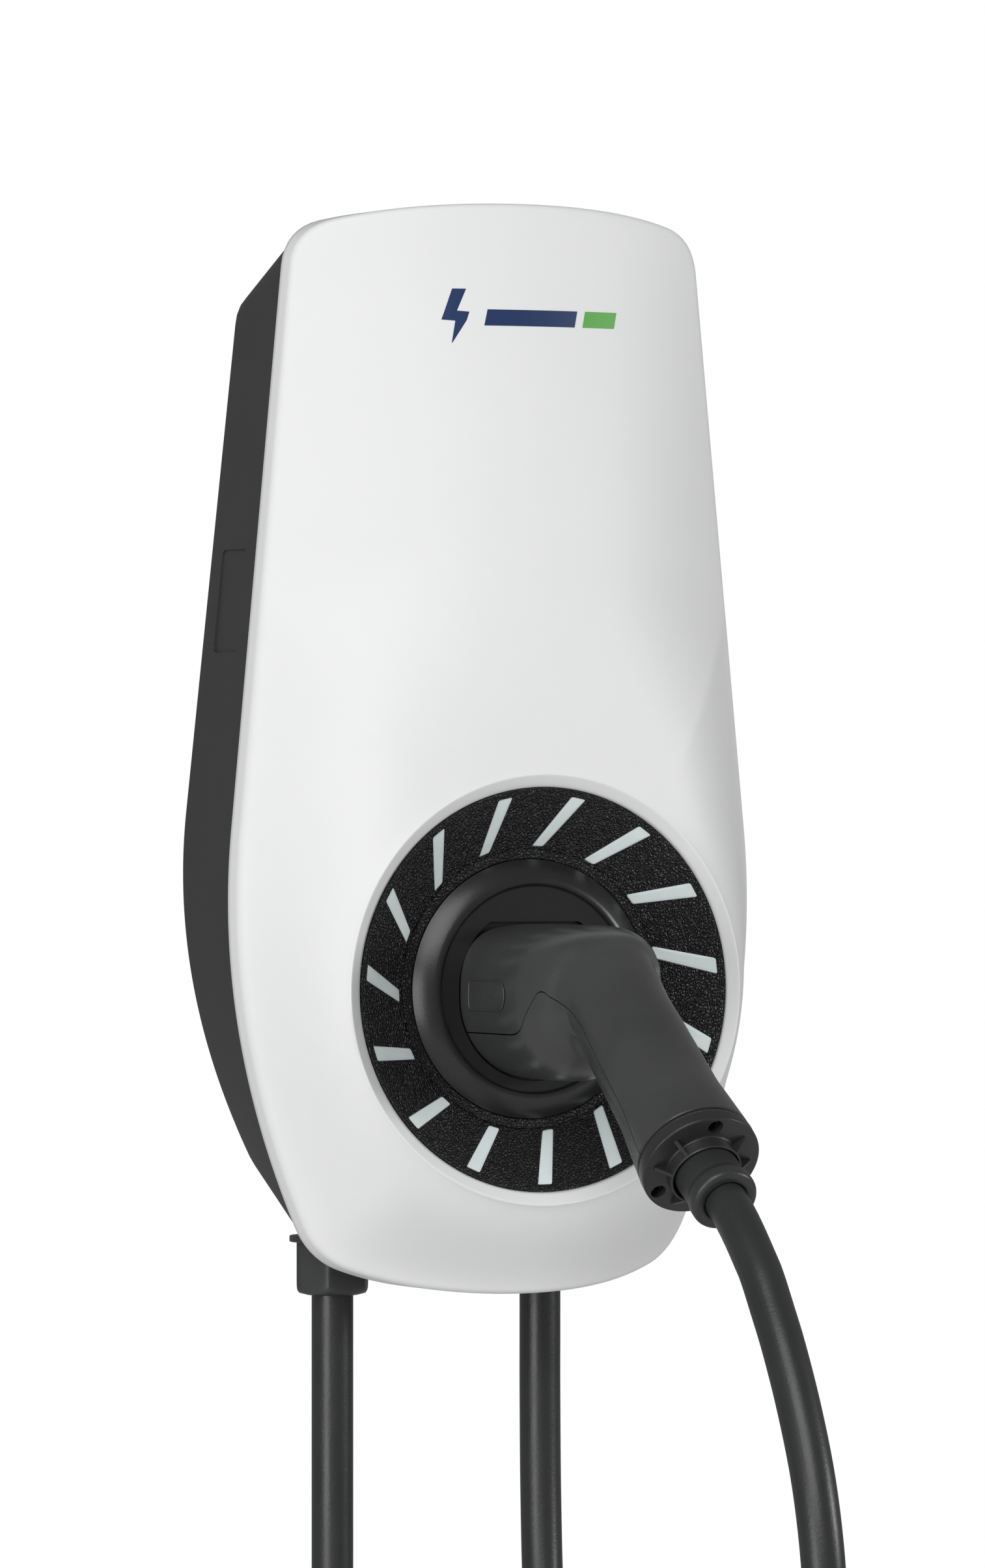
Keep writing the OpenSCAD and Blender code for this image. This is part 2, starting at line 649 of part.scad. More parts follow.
inner_end_z = boss_z + boss_h + 10;
supply_end_z = -328;
core_r = 2;
core_ring = 4.6;
module supply_cable() {
    color(sheath) gland_at(supply_x) translate([0, 0, supply_end_z])
        cylinder(r = cable_r, h = inner_end_z - supply_end_z);
}
module cores_up(x) {
    for (k = [-2:2]) tube([[x + 2.2 * k, -gland_depth, inner_end_z],
        [x + 2.2 * k, -gland_depth, inner_end_z + 3], [x + 7 * k, -panel_front - 8, block_z - 16],
        [x + 7 * k, -panel_front - 8, block_z - 6]], 2);
}
module supply_inner_cores() color("#8a5a2b") cores_up(supply_x);
// Output terminals stand off to the side, so these cores lean over to them
module charging_inner_cores() {
    color("#8a5a2b") for (k = [-2:2]) tube([[charging_x + 2.2 * k, -gland_depth, inner_end_z],
        [charging_x + 2.2 * k, -gland_depth, inner_end_z + 3],
        [charging_x + 16 + 7 * k, -panel_front - 8, block_z - 16],
        [charging_x + 16 + 7 * k, -panel_front - 8, block_z - 6]], 2);
}
module end_core(k)
    gland_at(supply_x) translate([core_ring * cos(72 * k), core_ring * sin(72 * k), 0]) children();
module supply_end_cores() {
    color("#8a5a2b") for (k = [0:4])
        end_core(k) translate([0, 0, supply_end_z - 16]) cylinder(r = core_r, h = 16);
}
module supply_ferrules() {
    color(steel) for (k = [0:4]) end_core(k) translate([0, 0, supply_end_z - 26]) {
        cylinder(r = 1.3, h = 10);
        translate([0, 0, 6]) cylinder(r = 2.3, h = 4);
    }
}

coil_x = 17.5;
coil_y = -170;
coil_z = -436;
// From the gland straight down, then forwards to the back of the coil
rear_route = [[33.5, -22, -170], [33.5, -22, -205], [33.5, -22, -240], [33.3, -23, -275], [32.2, -27, -310],
    [30.2, -34.5, -342], [27.8, -43.5, -374], [26, -51, -406], [25.3, -53.6, -436]];
// From the front of the coil up to the connector
front_route = [[9.7, -286.4, -436], [9, -289.7, -408], [7, -298.8, -378], [4.4, -309.7, -348],
    [2, -317, -320], [0.8, -318.6, -300], [0.2, -316.4, -276], [0, -310, -252], [0, -299.6, -229],
    [0, -288.2, -209],
    [0, -279, -195.6], [0, -271.1, -184.6], [0, -265.3, -178.6], [0, -259.5, -172.8], [0, -253.8, -167.6],
    [0, -248.6, -163.4], [0, -243.4, -159.9], [0, -234.9, -154.6]];
module charging_cable_rear() color(sheath) tube(rear_route, cable_d);
module charging_cable_front() color(sheath) tube(front_route, cable_d);
module coil_band(over, from_angle, angle) {
    translate([coil_x, coil_y, coil_z]) rotate([0, 90, 0]) rotate([0, 0, from_angle])
        rotate_extrude(angle = angle, $fn = 72) translate([coil_r, 0])
        square([coil_t + 2 * over, coil_w + 2 * over], center = true);
}
module charging_cable_coil() color(sheath) coil_band(0, 0, 360);
tie_t = 1.6;
module coil_ties() {
    color(black) for (a = [30, 150, 270]) difference() {
        coil_band(tie_t, a, 10);
        coil_band(0, a - 3, 16);
    }
}

// ---- Connector ----

head_back = face_d + nose_gap;
head_end = 26;
head_r = 30;
head_low = -33;
head_top = 24;
waist_at = 75;
waist_r = 19.4;
// Seam between the shells: level along the head, up over a peak, then down the handle's side
seam = [[-60, -15.6], [37, -15.6], [53, -1.6],
    for (l = [30, 240]) [elbow_out + l * cos(handle_dip), elbow_up - l * sin(handle_dip)]];
module head_shape(fn) {
    intersection() {
        union() {
            circle(r = head_r, $fn = fn);
            translate([0, head_low + head_r]) circle(r = head_r, $fn = fn);
            translate([-head_r, head_low + head_r]) square([2 * head_r, -head_low - head_r]);
        }
        translate([-40, head_low]) square([80, head_top - head_low]);
    }
}
module plug_body() {
    difference() {
        union() {
            dial_out(head_back, dial_d + head_end - head_back) head_shape(48);
            hull() {
                dial_out(dial_d + head_end - 1, 1) head_shape(32);
                on_handle(6) sphere(r = handle_r_in + 2, $fn = 32);
                on_handle(24) sphere(r = handle_r_in + 1, $fn = 32);
            }
            on_handle(10) cylinder(r1 = handle_r_in, r2 = waist_r, h = waist_at - 10);
            on_handle(waist_at - eps)
                cylinder(r1 = waist_r, r2 = handle_r_out, h = handle_len - waist_at + eps);
        }
        dial_out(head_back - 1, 15) nose_shape(0.2);
        on_handle(12) cylinder(r = 13, h = handle_len);
        for (a = cap_screw_angles) on_handle(handle_len - 9) rotate([0, 0, a]) translate([cap_screw_r, 0, 0])
            cylinder(r = 1.5, h = 10);
    }
}
// Side view of everything below the seam between the two shells
module below_seam() {
    translate([60, -dial_d, dial_z]) rotate([90, 0, -90]) linear_extrude(120)
        polygon([each seam, [240, -260], [-60, -260]]);
}
module plug_upper_shell() color(plug_grey) difference() { plug_body(); below_seam(); }
module plug_lower_shell() color(plug_grey) intersection() { plug_body(); below_seam(); }
contact_at = [[0, 0, 3.1], [-10.5, 0, 3.1], [10.5, 0, 3.1], [-5.5, -9.6, 3.1], [5.5, -9.6, 3.1],
    [-6, 9.6, 1.6], [6, 9.6, 1.6]];
module plug_nose() {
    color(black) difference() {
        dial_out(head_back - nose_len, nose_len + 12) nose_shape(0);
        for (c = contact_at) translate([0, 0, dial_z]) rod(c.x, c.y, head_back - nose_len - 1, 42, c.z + 1.2);
    }
}
module plug_contacts() {
    color("#c8a84a") for (c = contact_at) translate([0, 0, dial_z]) difference() {
        rod(c.x, c.y, head_back - nose_len + 4, 37, c.z + 1.2);
        rod(c.x, c.y, head_back - nose_len + 3, 34, c.z);
    }
}
module plug_seal() {
    color("#111111") dial_out(head_back - 2.5, 2.4) difference() {
        intersection() {
            circle(r = nose_r + 0.35);
            translate([-40, -40]) square([80, 40 + nose_flat + 0.35]);
        }
        nose_shape(0.02);
    }
}
hub_r = 13.4;
hub_h = 5.3;
hub_bore = 12.4;
rib_angles = [6, 44, 140, 182, 251, 289];
rib_r = 18.6;
rib_t = 1.4;
cap_screw_angles = [90, 222, 318];
cap_screw_r = 17.9;
module plug_end_cap() {
    color(plug_grey) on_handle(handle_len) difference() {
        union() {
            cylinder(r = cap_r, h = cap_t);
            cylinder(r = hub_r, h = cap_t + hub_h);
            for (a = rib_angles) rotate([0, 0, a]) translate([hub_bore + 0.3, rib_t / 2, cap_t - eps])
                rotate([90, 0, 0]) linear_extrude(rib_t)
                polygon([[0, 0], [rib_r - hub_bore, 0], [rib_r - hub_bore, 0.6], [0, hub_h]]);
        }
        translate([0, 0, -1]) cylinder(r = hub_bore, h = cap_t + hub_h + 2);
        for (a = cap_screw_angles) rotate([0, 0, a]) translate([cap_screw_r, 0, -1]) {
            cylinder(r = 1.7, h = cap_t + 2);
            translate([0, 0, 4]) cylinder(r = 2.7, h = cap_t);
        }
    }
}
module plug_cap_screws() {
    color(steel) on_handle(handle_len) for (a = cap_screw_angles) rotate([0, 0, a])
        translate([cap_screw_r, 0, 0]) {
            translate([0, 0, -6]) cylinder(r = 1.5, h = 10);
            translate([0, 0, 3]) cylinder(r = 2.5, h = 1.8);
        }
}
sleeve_seat = 3;
sleeve_rim = 0.7;
sleeve_rim_len = 6;
module plug_sleeve() {
    color(plug_grey) difference() {
        union() {
            on_sleeve(-sleeve_seat) cylinder(r = sleeve_r, h = sleeve_seat + sleeve_len - 1);
            on_sleeve(sleeve_len - sleeve_rim_len) cylinder(r = sleeve_r + sleeve_rim, h = sleeve_rim_len);
        }
        on_sleeve(-sleeve_seat - 1) cylinder(r = cable_r + bore_gap, h = sleeve_len + 10);
    }
}

wall_bracket();
rear_housing();
housing_gasket();
front_cover();
cover_screws();
dial_dish();
dial_screws();
light_guide();
led_board();
led_chips();
holster_collar();
holster_socket();
holster_screws();
main_board();
board_screws();
relays();
current_sensor();
power_supply();
capacitors();
terminal_block();
terminal_screws();
output_terminals();
control_board();
control_shield();
supply_gland_body();
supply_gland_seal();
supply_gland_nut();
supply_gland_locknut();
charging_gland_body();
charging_gland_seal();
charging_gland_nut();
charging_gland_locknut();
supply_cable();
supply_inner_cores();
supply_end_cores();
supply_ferrules();
charging_inner_cores();
charging_cable_rear();
charging_cable_coil();
charging_cable_front();
coil_ties();
plug_upper_shell();
plug_lower_shell();
plug_nose();
plug_contacts();
plug_seal();
plug_end_cap();
plug_cap_screws();
plug_sleeve();
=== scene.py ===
# Wall-mounted vehicle charger: white domed cover on a grey housing, a lit dial with a parked connector,
# and the connector's own cable. Lengths are in millimetres until a mesh is made, and in metres after that.
# Row frame: +Z up, +X right seen from the front, the front faces -Y, and the wall is the plane y = 0.
import math

import bmesh
import bpy
import numpy as np
from mathutils import Matrix, Vector


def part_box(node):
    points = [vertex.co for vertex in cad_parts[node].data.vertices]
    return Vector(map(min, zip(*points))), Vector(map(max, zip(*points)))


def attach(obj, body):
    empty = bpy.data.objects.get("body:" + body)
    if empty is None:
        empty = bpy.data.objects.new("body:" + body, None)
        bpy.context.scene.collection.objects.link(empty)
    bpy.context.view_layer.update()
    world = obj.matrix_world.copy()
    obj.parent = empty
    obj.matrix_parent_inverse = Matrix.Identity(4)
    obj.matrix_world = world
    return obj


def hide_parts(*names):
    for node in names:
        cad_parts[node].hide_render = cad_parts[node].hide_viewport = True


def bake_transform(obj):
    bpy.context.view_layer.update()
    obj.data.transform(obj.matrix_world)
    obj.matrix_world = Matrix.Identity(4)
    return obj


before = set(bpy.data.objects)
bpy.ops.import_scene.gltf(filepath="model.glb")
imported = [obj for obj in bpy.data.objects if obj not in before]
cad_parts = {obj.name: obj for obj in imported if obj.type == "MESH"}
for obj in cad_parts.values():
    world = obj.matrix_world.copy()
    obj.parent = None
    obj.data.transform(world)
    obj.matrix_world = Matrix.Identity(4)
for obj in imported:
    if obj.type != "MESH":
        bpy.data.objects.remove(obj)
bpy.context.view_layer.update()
MM = 0.001

# ---- Camera ----
# A long lens at the dial's height, standing to the charger's left, so that the cover's left side shows.

view_turn = math.radians(25.33)
view_dip = math.radians(0.07)
away = np.array([-math.sin(view_turn) * math.cos(view_dip), -math.cos(view_turn) * math.cos(view_dip),
                 math.sin(view_dip)])
rightwards = np.array([math.cos(view_turn), -math.sin(view_turn), 0])
upwards = np.cross(away, rightwards)
dial_middle = np.array([0, -0.097, -0.0883])
shift_right, shift_up, view_distance = -0.01962, 0.07535, 3.4
view_centre = dial_middle + shift_right * rightwards + shift_up * upwards
camera_data = bpy.data.cameras.new("camera")
camera = bpy.data.objects.new("camera", camera_data)
bpy.context.scene.collection.objects.link(camera)
bpy.context.scene.camera = camera
camera_data.sensor_width = 36
camera_data.lens = 212.98
camera_data.clip_start, camera_data.clip_end = 0.1, 60
camera.location = view_centre + view_distance * away
turned = np.column_stack([rightwards, upwards, away])
camera.rotation_mode = "QUATERNION"
camera.rotation_quaternion = Matrix(turned.tolist()).to_quaternion()

# ---- Charging cable ----
# Smooth round polyurethane cable, 15.5 mm thick and about 5 m long. It leaves the right gland, is wound into
# a flat coil of seven and a half turns below the charger, and comes up into the connector's sleeve.


def piece_from(name, vertices, faces, sharp=35):
    """Mesh object from points in millimetres and a list of faces; edges over `sharp` degrees stay hard."""
    mesh = bpy.data.meshes.new(name)
    mesh.from_pydata((np.asarray(vertices, float) * MM).tolist(), [], [list(map(int, f)) for f in faces])
    mesh.validate()
    made = bpy.data.objects.new(name, mesh)
    bpy.context.scene.collection.objects.link(made)
    mesh.shade_smooth()
    mesh.set_sharp_from_angle(angle=math.radians(sharp))
    return made


def grid_faces(rows, columns, close_rows=False, close_columns=True):
    """Quads of a grid of rows x columns points, joined end to end along the ways that close."""
    r = np.arange(rows if close_rows else rows - 1)
    c = np.arange(columns if close_columns else columns - 1)
    r, c = np.meshgrid(r, c, indexing="ij")
    r2, c2 = (r + 1) % rows, (c + 1) % columns
    quads = np.stack([r * columns + c, r * columns + c2, r2 * columns + c2, r2 * columns + c], -1)
    return quads.reshape(-1, 4)


def surface(name, rings, ends="capped", sharp=35, flip=False):
    """Closed surface through an array of rings (ring, point, xyz). Its ends are capped or joined as a loop."""
    rings = np.asarray(rings, float)
    m, n = rings.shape[:2]
    faces = grid_faces(m, n, close_rows=ends == "looped").tolist()
    if ends == "capped":
        faces += [list(range(n))[::-1], list(range((m - 1) * n, m * n))]
    if flip:
        faces = [f[::-1] for f in faces]
    return piece_from(name, rings.reshape(-1, 3), faces, sharp=sharp)


def through(points, steps):
    """Catmull-Rom line through points: a cubic a span, its end slopes half the step between neighbours."""
    p = np.asarray(points, float)
    before = np.vstack([2 * p[0] - p[1], p[:-1]])
    after = np.vstack([p[1:], 2 * p[-1] - p[-2]])
    slope = (after - before) / 2
    t = np.linspace(0, 1, steps, endpoint=False)[None, :, None]
    a, b, sa, sb = p[:-1, None], p[1:, None], slope[:-1, None], slope[1:, None]
    line = (a * (2 * t**3 - 3 * t**2 + 1) + sa * (t**3 - 2 * t**2 + t) + b * (3 * t**2 - 2 * t**3)
            + sb * (t**3 - t**2))
    return np.vstack([line.reshape(-1, p.shape[1]), p[-1]])


def running(line):
    """Length along a line from its start to each of its points."""
    return np.concatenate([[0], np.cumsum(np.linalg.norm(np.diff(line, axis=0), axis=1))])


def even(line, spacing):
    """The same line with points an even distance apart."""
    run = running(line)
    wanted = np.linspace(0, run[-1], max(3, int(run[-1] / spacing) + 1))
    return np.column_stack([np.interp(wanted, run, line[:, k]) for k in range(line.shape[1])])


def length_of(line):
    return float(np.linalg.norm(np.diff(line, axis=0), axis=1).sum())


def circle(count):
    """Cosines and sines of angles spread evenly over a full turn."""
    a = np.linspace(0, 2 * np.pi, count, endpoint=False)
    return np.cos(a), np.sin(a)


def tube(name, line, radius, sides):
    """Round tube along a line: each ring is a circle across the line, its side carried along untwisted. Its UV
    map has u around the tube and v along it, in metres."""
    line = np.asarray(line, float)
    along = np.gradient(line, axis=0)
    along /= np.linalg.norm(along, axis=1)[:, None]
    side = np.zeros_like(line)
    last = np.array([1.0, 0, 0])
    for i, t in enumerate(along):
        last = last - t * (last @ t)
        last /= np.linalg.norm(last)
        side[i] = last
    up = np.cross(along, side)
    cos, sin = circle(sides)
    radius = np.broadcast_to(radius, len(line))[:, None, None]
    rings = line[:, None] + radius * (cos[:, None] * side[:, None] + sin[:, None] * up[:, None])
    made = surface(name, rings, sharp=60)
    run = running(line) * MM
    index = np.empty(len(made.data.loops), int)
    made.data.loops.foreach_get("vertex_index", index)
    uv = np.stack([(index % sides) / sides, run[index // sides]], 1)
    made.data.uv_layers.new(name="around_along").data.foreach_set("uv", uv.ravel())
    return made


class Wire:
    """One output of a material's nodes. Arithmetic on it adds Math nodes."""

    def __init__(self, finish, socket):
        self.finish, self.socket = finish, socket

    def maths(self, operation, a, b):
        return self.finish.node("Math", {"operation": operation}, {0: a, 1: b})

    def __add__(self, other):
        return self.maths("ADD", self, other)

    def __sub__(self, other):
        return self.maths("SUBTRACT", self, other)

    def __rsub__(self, other):
        return self.maths("SUBTRACT", other, self)

    def __mul__(self, other):
        return self.maths("MULTIPLY", self, other)

    __radd__ = __add__
    __rmul__ = __mul__


class Finish:
    """A material being made. node() adds a node from its type, its settings and the values of its sockets."""

    def __init__(self, name):
        self.material = bpy.data.materials.new(name)
        self.material.use_nodes = True
        self.tree = self.material.node_tree
        self.shader = self.tree.nodes["Principled BSDF"]

    def put(self, socket, value):
        if isinstance(value, Wire):
            self.tree.links.new(value.socket, socket)
        else:
            socket.default_value = value

    def node(self, kind, settings=None, sockets=None, output=0):
        made = self.tree.nodes.new("ShaderNode" + kind)
        for key, value in (settings or {}).items():
            if key == "stops":
                ramp = made.color_ramp
                while len(ramp.elements) < len(value):
                    ramp.elements.new(0.5)
                for stop, (place, shade) in zip(ramp.elements, value):
                    stop.position, stop.color = place, shade
            else:
                setattr(made, key, value)
        for key, value in (sockets or {}).items():
            self.put(made.inputs[key], value)
        return Wire(self, made.outputs[output])

    def set(self, **sockets):
        for key, value in sockets.items():
            self.put(self.shader.inputs[key.replace("_", " ")], value)

    def place(self, scale=(1, 1, 1), turn=(0, 0, 0)):
        spot = self.node("TexCoord", output=3)
        return self.node("Mapping", {}, {"Vector": spot, "Scale": scale, "Rotation": turn})

    def noise(self, size, detail=3):
        """Cloudy pattern from 0 to 1 whose patches are about `size` metres across."""
        return self.node("TexNoise", {}, {"Vector": self.place(), "Scale": 1 / size, "Detail": detail})

    def between(self, mask, dark, bright):
        """Colour that goes from dark to bright with the mask."""
        return self.node("Mix", {"data_type": "RGBA"}, {0: mask, 6: (*dark, 1), 7: (*bright, 1)}, output=2)

    def bump(self, height, depth, strength):
        """Normal from a height pattern whose full range is `depth` metres."""
        return self.node("Bump", {}, {"Strength": strength, "Distance": depth, "Height": height})


def paint(made, finish):
    made.data.materials.clear()
    made.data.materials.append(finish)


def coat(made, finish, body=None, replaced=()):
    """Gives a piece its material, the body it rides on and the CAD nodes that it stands for."""
    paint(made, finish)
    if body:
        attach(made, body)
    if replaced:
        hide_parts(*replaced)
    return made


cable_d = 15.5
nut_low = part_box("charging_gland_nut")[0].z / MM
charging_x, gland_y = 33.5, -22
rear_points = [[charging_x, gland_y, nut_low + 2], [charging_x, gland_y, -222], [charging_x, gland_y, -240],
               [33.3, -23, -275], [32.2, -27, -310], [30.2, -34.5, -342], [27.8, -43.5, -374],
               [26, -51, -406], [25.3, -53.6, -436]]
front_points = [[9.7, -286.4, -436], [9, -289.7, -408], [7, -298.8, -378], [4.4, -309.7, -348],
                [2, -317, -320], [0.8, -318.6, -300], [0.2, -316.4, -276], [0, -310, -252],
                [0, -299.6, -229], [0, -288.2, -209], [0, -279, -195.6], [0, -271.1, -184.6],
                [0, -265.3, -178.6], [0, -259.5, -172.8], [0, -253.8, -167.6], [0, -248.6, -163.4],
                [0, -243.4, -159.9], [0, -234.9, -154.6]]
inside_handle = [[0, -219, -143.8], [0, -203.4, -131.3], [0, -187.8, -118.8]]
coil_centre = np.array([17.5, -170, -436])
lanes = np.array([[25.3, 116.4], [25.3, 100.8], [25.3, 85.2], [25.3, 69.6],
                  [9.7, 69.6], [9.7, 85.2], [9.7, 100.8], [9.7, 116.4]])


def coil_line(steps):
    """Seven and a half turns. The bottom half of each turn keeps to its lane; over the top half it moves to
    the next lane by smoothstep, the inner strands earlier in the turn, so that no strand crosses another."""
    angle = np.linspace(0, 15 * np.pi, steps)
    lane = np.minimum(angle // (2 * np.pi), 7).astype(int)
    over_top = np.degrees(angle - 2 * np.pi * lane) - 180
    change = np.clip((over_top - (120 - 20 * lane)) / 60, 0, 1)
    change = change**2 * (3 - 2 * change)
    here, there = lanes[lane], lanes[np.minimum(lane + 1, 7)]
    across, radius = (here + (there - here) * change[:, None]).T
    return np.column_stack([across, coil_centre[1] + radius * np.cos(angle),
                            coil_centre[2] - radius * np.sin(angle)])


cable_line = even(np.vstack([through(rear_points, 12)[:-1], coil_line(700),
                             through(front_points + inside_handle, 8)[1:]]), 5.5)
charging_cable = tube("charging_cable", cable_line, cable_d / 2, sides=20)


def sheath_finish():
    """Satin dark-grey sheath: faint long streaks from the extruder, fine dust and a slight orange peel."""
    made = Finish("sheath")
    uv = made.node("UVMap", {"uv_map": "around_along"})
    stretched = made.node("Mapping", {}, {"Vector": uv, "Scale": (60, 2, 1)})
    streaks = made.node("TexNoise", {}, {"Vector": stretched, "Scale": 1.0, "Detail": 2})
    dust = made.noise(0.02)
    peel = made.noise(0.0012, 2)
    dirt = streaks * 0.5 + dust * 0.5
    made.set(Base_Color=made.between(dirt, (0.017, 0.0175, 0.018), (0.030, 0.031, 0.032)),
             Roughness=dust * 0.14 + 0.29, Normal=made.bump(peel + streaks * 0.6, 0.00012, 0.5))
    return made.material


sheath = sheath_finish()
coat(charging_cable, sheath)
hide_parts("charging_cable_rear", "charging_cable_coil", "charging_cable_front")
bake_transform(charging_cable)

# ---- Coil ties ----
# Three hook-and-loop straps hold the coil's turns together. Each is a closed woven band with rounded corners.


def strap_finish():
    """Woven black strap: two crossed rows of fine ribs with a little fuzz."""
    made = Finish("strap")
    spot = made.place()
    ribs, rows = (made.node("TexWave", {"bands_direction": way},
                            {"Vector": spot, "Scale": count, "Distortion": 0.4})
                  for way, count in (("X", 260), ("DIAGONAL", 190)))
    fuzz = made.noise(0.0006, 2)
    made.set(Base_Color=made.between(ribs * rows, (0.012, 0.012, 0.013), (0.035, 0.035, 0.037)),
             Roughness=0.85, Normal=made.bump(ribs * 0.5 + rows * 0.5 + fuzz * 0.4, 0.0003, 0.8))
    return made.material


coil_r, coil_half_t, coil_half_w = 93, 31.5, 16
tie_w, tie_corner_r = 16, 7.5


def rounded_box(half, corner_radii, steps):
    """Outline of a rectangle with the half sizes `half`, each corner an arc of its own radius."""
    a = np.linspace(0, np.pi / 2, steps)
    signs = np.array([[1, 1], [-1, 1], [-1, -1], [1, -1]])
    corners = []
    for k, (radius, sign) in enumerate(zip(corner_radii, signs)):
        arc = np.column_stack([np.cos(a + k * np.pi / 2), np.sin(a + k * np.pi / 2)])
        corners.append(arc * radius + sign * (np.array(half) - radius))
    return np.vstack(corners)


def tie_rings(angle):
    """A band about the coil's section: a rounded rectangle in the plane of the coil's radius, swept a short
    way round the coil, its thickness the difference of an outer and an inner outline."""
    inner, outer = (rounded_box((coil_half_t + grow, coil_half_w + grow), [tie_corner_r + grow] * 4, 7)
                    for grow in (0.05, 1.45))
    half_turn = tie_w / 2 / coil_r
    rings = []
    for section, turn in ((outer, -half_turn), (outer, half_turn), (inner, half_turn), (inner, -half_turn)):
        a = math.radians(angle) + turn
        radius = coil_r + section[:, 0]
        rings.append(np.column_stack([coil_centre[0] + section[:, 1], coil_centre[1] + radius * math.cos(a),
                                      coil_centre[2] + radius * math.sin(a)]))
    return rings


strap = strap_finish()
ties = []
for number, angle in enumerate((35, 155, 275), 1):
    tie = surface(f"coil_tie_{number}", tie_rings(angle), ends="looped", sharp=40)
    ties.append(coat(tie, strap, "charger"))
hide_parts("coil_ties")

# ---- Supply cable ----
# The same kind of cable comes straight down out of the left gland. Its free end, below the view, is stripped:
# five cores, each with a crimped tin ferrule, wait for the installer.

supply_x = -52
supply_end = -328
supply_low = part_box("supply_gland_nut")[0].z / MM
supply_line = even(np.array([[supply_x, gland_y, supply_low + 2], [supply_x, gland_y, supply_end]]), 6)
supply_cable = tube("supply_cable_sheath", supply_line, cable_d / 2, sides=32)
coat(supply_cable, sheath, "charger", ["supply_cable"])


def clouded(name, dark, bright, cloud, gloss, grain=None, **fixed):
    """Finish whose colour and roughness drift together. `cloud` is the drift's size and detail, `gloss` the
    least roughness and how far it drifts, and `grain` the relief's size, detail, depth and strength."""
    made = Finish(name)
    drift = made.noise(*cloud)
    if grain:
        fixed["Normal"] = made.bump(made.noise(*grain[:2]), *grain[2:])
    made.set(Base_Color=made.between(drift, dark, bright), Roughness=drift * gloss[1] + gloss[0], **fixed)
    return made.material


def core_finish(name, colour):
    """Glossy PVC insulation with slight unevenness."""
    return clouded(name, [c * 0.8 for c in colour], colour, (0.004, 3), (0.32, 0.1), (0.004, 3, 0.00005, 0.5))


def ferrule_finish():
    """Tinned copper with crimp marks across it."""
    made = Finish("ferrule")
    marks = made.node("TexWave", {"bands_direction": "Z"}, {"Vector": made.place(), "Scale": 160})
    made.set(Metallic=1.0, Base_Color=made.between(marks, (0.5, 0.5, 0.5), (0.75, 0.75, 0.74)), Roughness=0.3,
             Normal=made.bump(marks, 0.0002, 0.6))
    return made.material


core_colours = {"brown": (0.12, 0.04, 0.015), "black": (0.015, 0.015, 0.015), "grey": (0.2, 0.2, 0.2),
                "blue": (0.01, 0.06, 0.3), "earth": (0.08, 0.3, 0.02)}
ferrule_drop, ferrule_radius = np.array([[-14.5, 2.3], [-16, 2.3], [-20, 2.3], [-20.4, 1.9], [-20.5, 1.3],
                                         [-25.6, 1.3], [-26, 0.9]]).T
ferrule_steel = ferrule_finish()
supply_ends = []
for k, (name, colour) in enumerate(core_colours.items()):
    turn = math.radians(72 * k)
    at = np.array([supply_x + 4.6 * math.cos(turn), gland_y + 4.6 * math.sin(turn), 0])
    core_line = even(at + np.array([[0, 0, supply_end + 1], [0, 0, supply_end - 16]]), 3)
    core = coat(tube(f"supply_core_{name}", core_line, 2, 16), core_finish(f"core_{name}", colour),
                "charger")
    ferrule_line = at + np.column_stack([np.zeros((7, 2)), supply_end + ferrule_drop])
    ferrule = tube(f"supply_ferrule_{name}", ferrule_line, ferrule_radius, 16)
    supply_ends += [core, coat(ferrule, ferrule_steel, "charger")]
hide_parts("supply_end_cores")
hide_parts("supply_ferrules")

# ---- Front cover ----
# One white moulding with a satin surface. Its outline is a gently tapering shield with arched ends; its front
# swells to the dial's round rim, and a narrow bevel runs round the dial. Screws from behind hold it.

half_h, half_top, half_knee, knee_z, side_r = 201, 81, 103.3, -30, 269
top_arch, bottom_arch, top_cut, bottom_cut = 9, 12, 13, 10
housing_d, crease_d, cover_crown, edge_crown = 44.7, 54.6, 42.4, 20
dial_z, dish_r, flat_r, dial_d = -88.3, 74, 79, 97
blend_w, crown_top_z = 90, 5
cover_wall, cover_fillet = 2.6, 2.2
taper = (half_knee - half_top) / (half_h - knee_z)


def side_x(z):
    """Half width at height z: a straight taper above the knee, and a circular arc of radius side_r below."""
    z = np.asarray(z, float)
    return half_knee - taper * (z - knee_z) - np.where(z < knee_z, (knee_z - z) ** 2 / (2 * side_r), 0)


def arch(u):
    return 0.68 * u**2 + 0.32 * u**4


def top_z(x):
    return half_h - top_arch * arch(x / (half_top - 3))


def bottom_z(x):
    return -half_h + bottom_arch * arch(x / (side_x(-half_h) + 3))


def bend(a, c, b, count):
    """Corner as a quadratic Bezier curve from a to b with its control point at c."""
    s = np.linspace(0, 1, count)[:, None]
    return (1 - s) ** 2 * np.array(a) + 2 * s * (1 - s) * np.array(c) + s**2 * np.array(b)


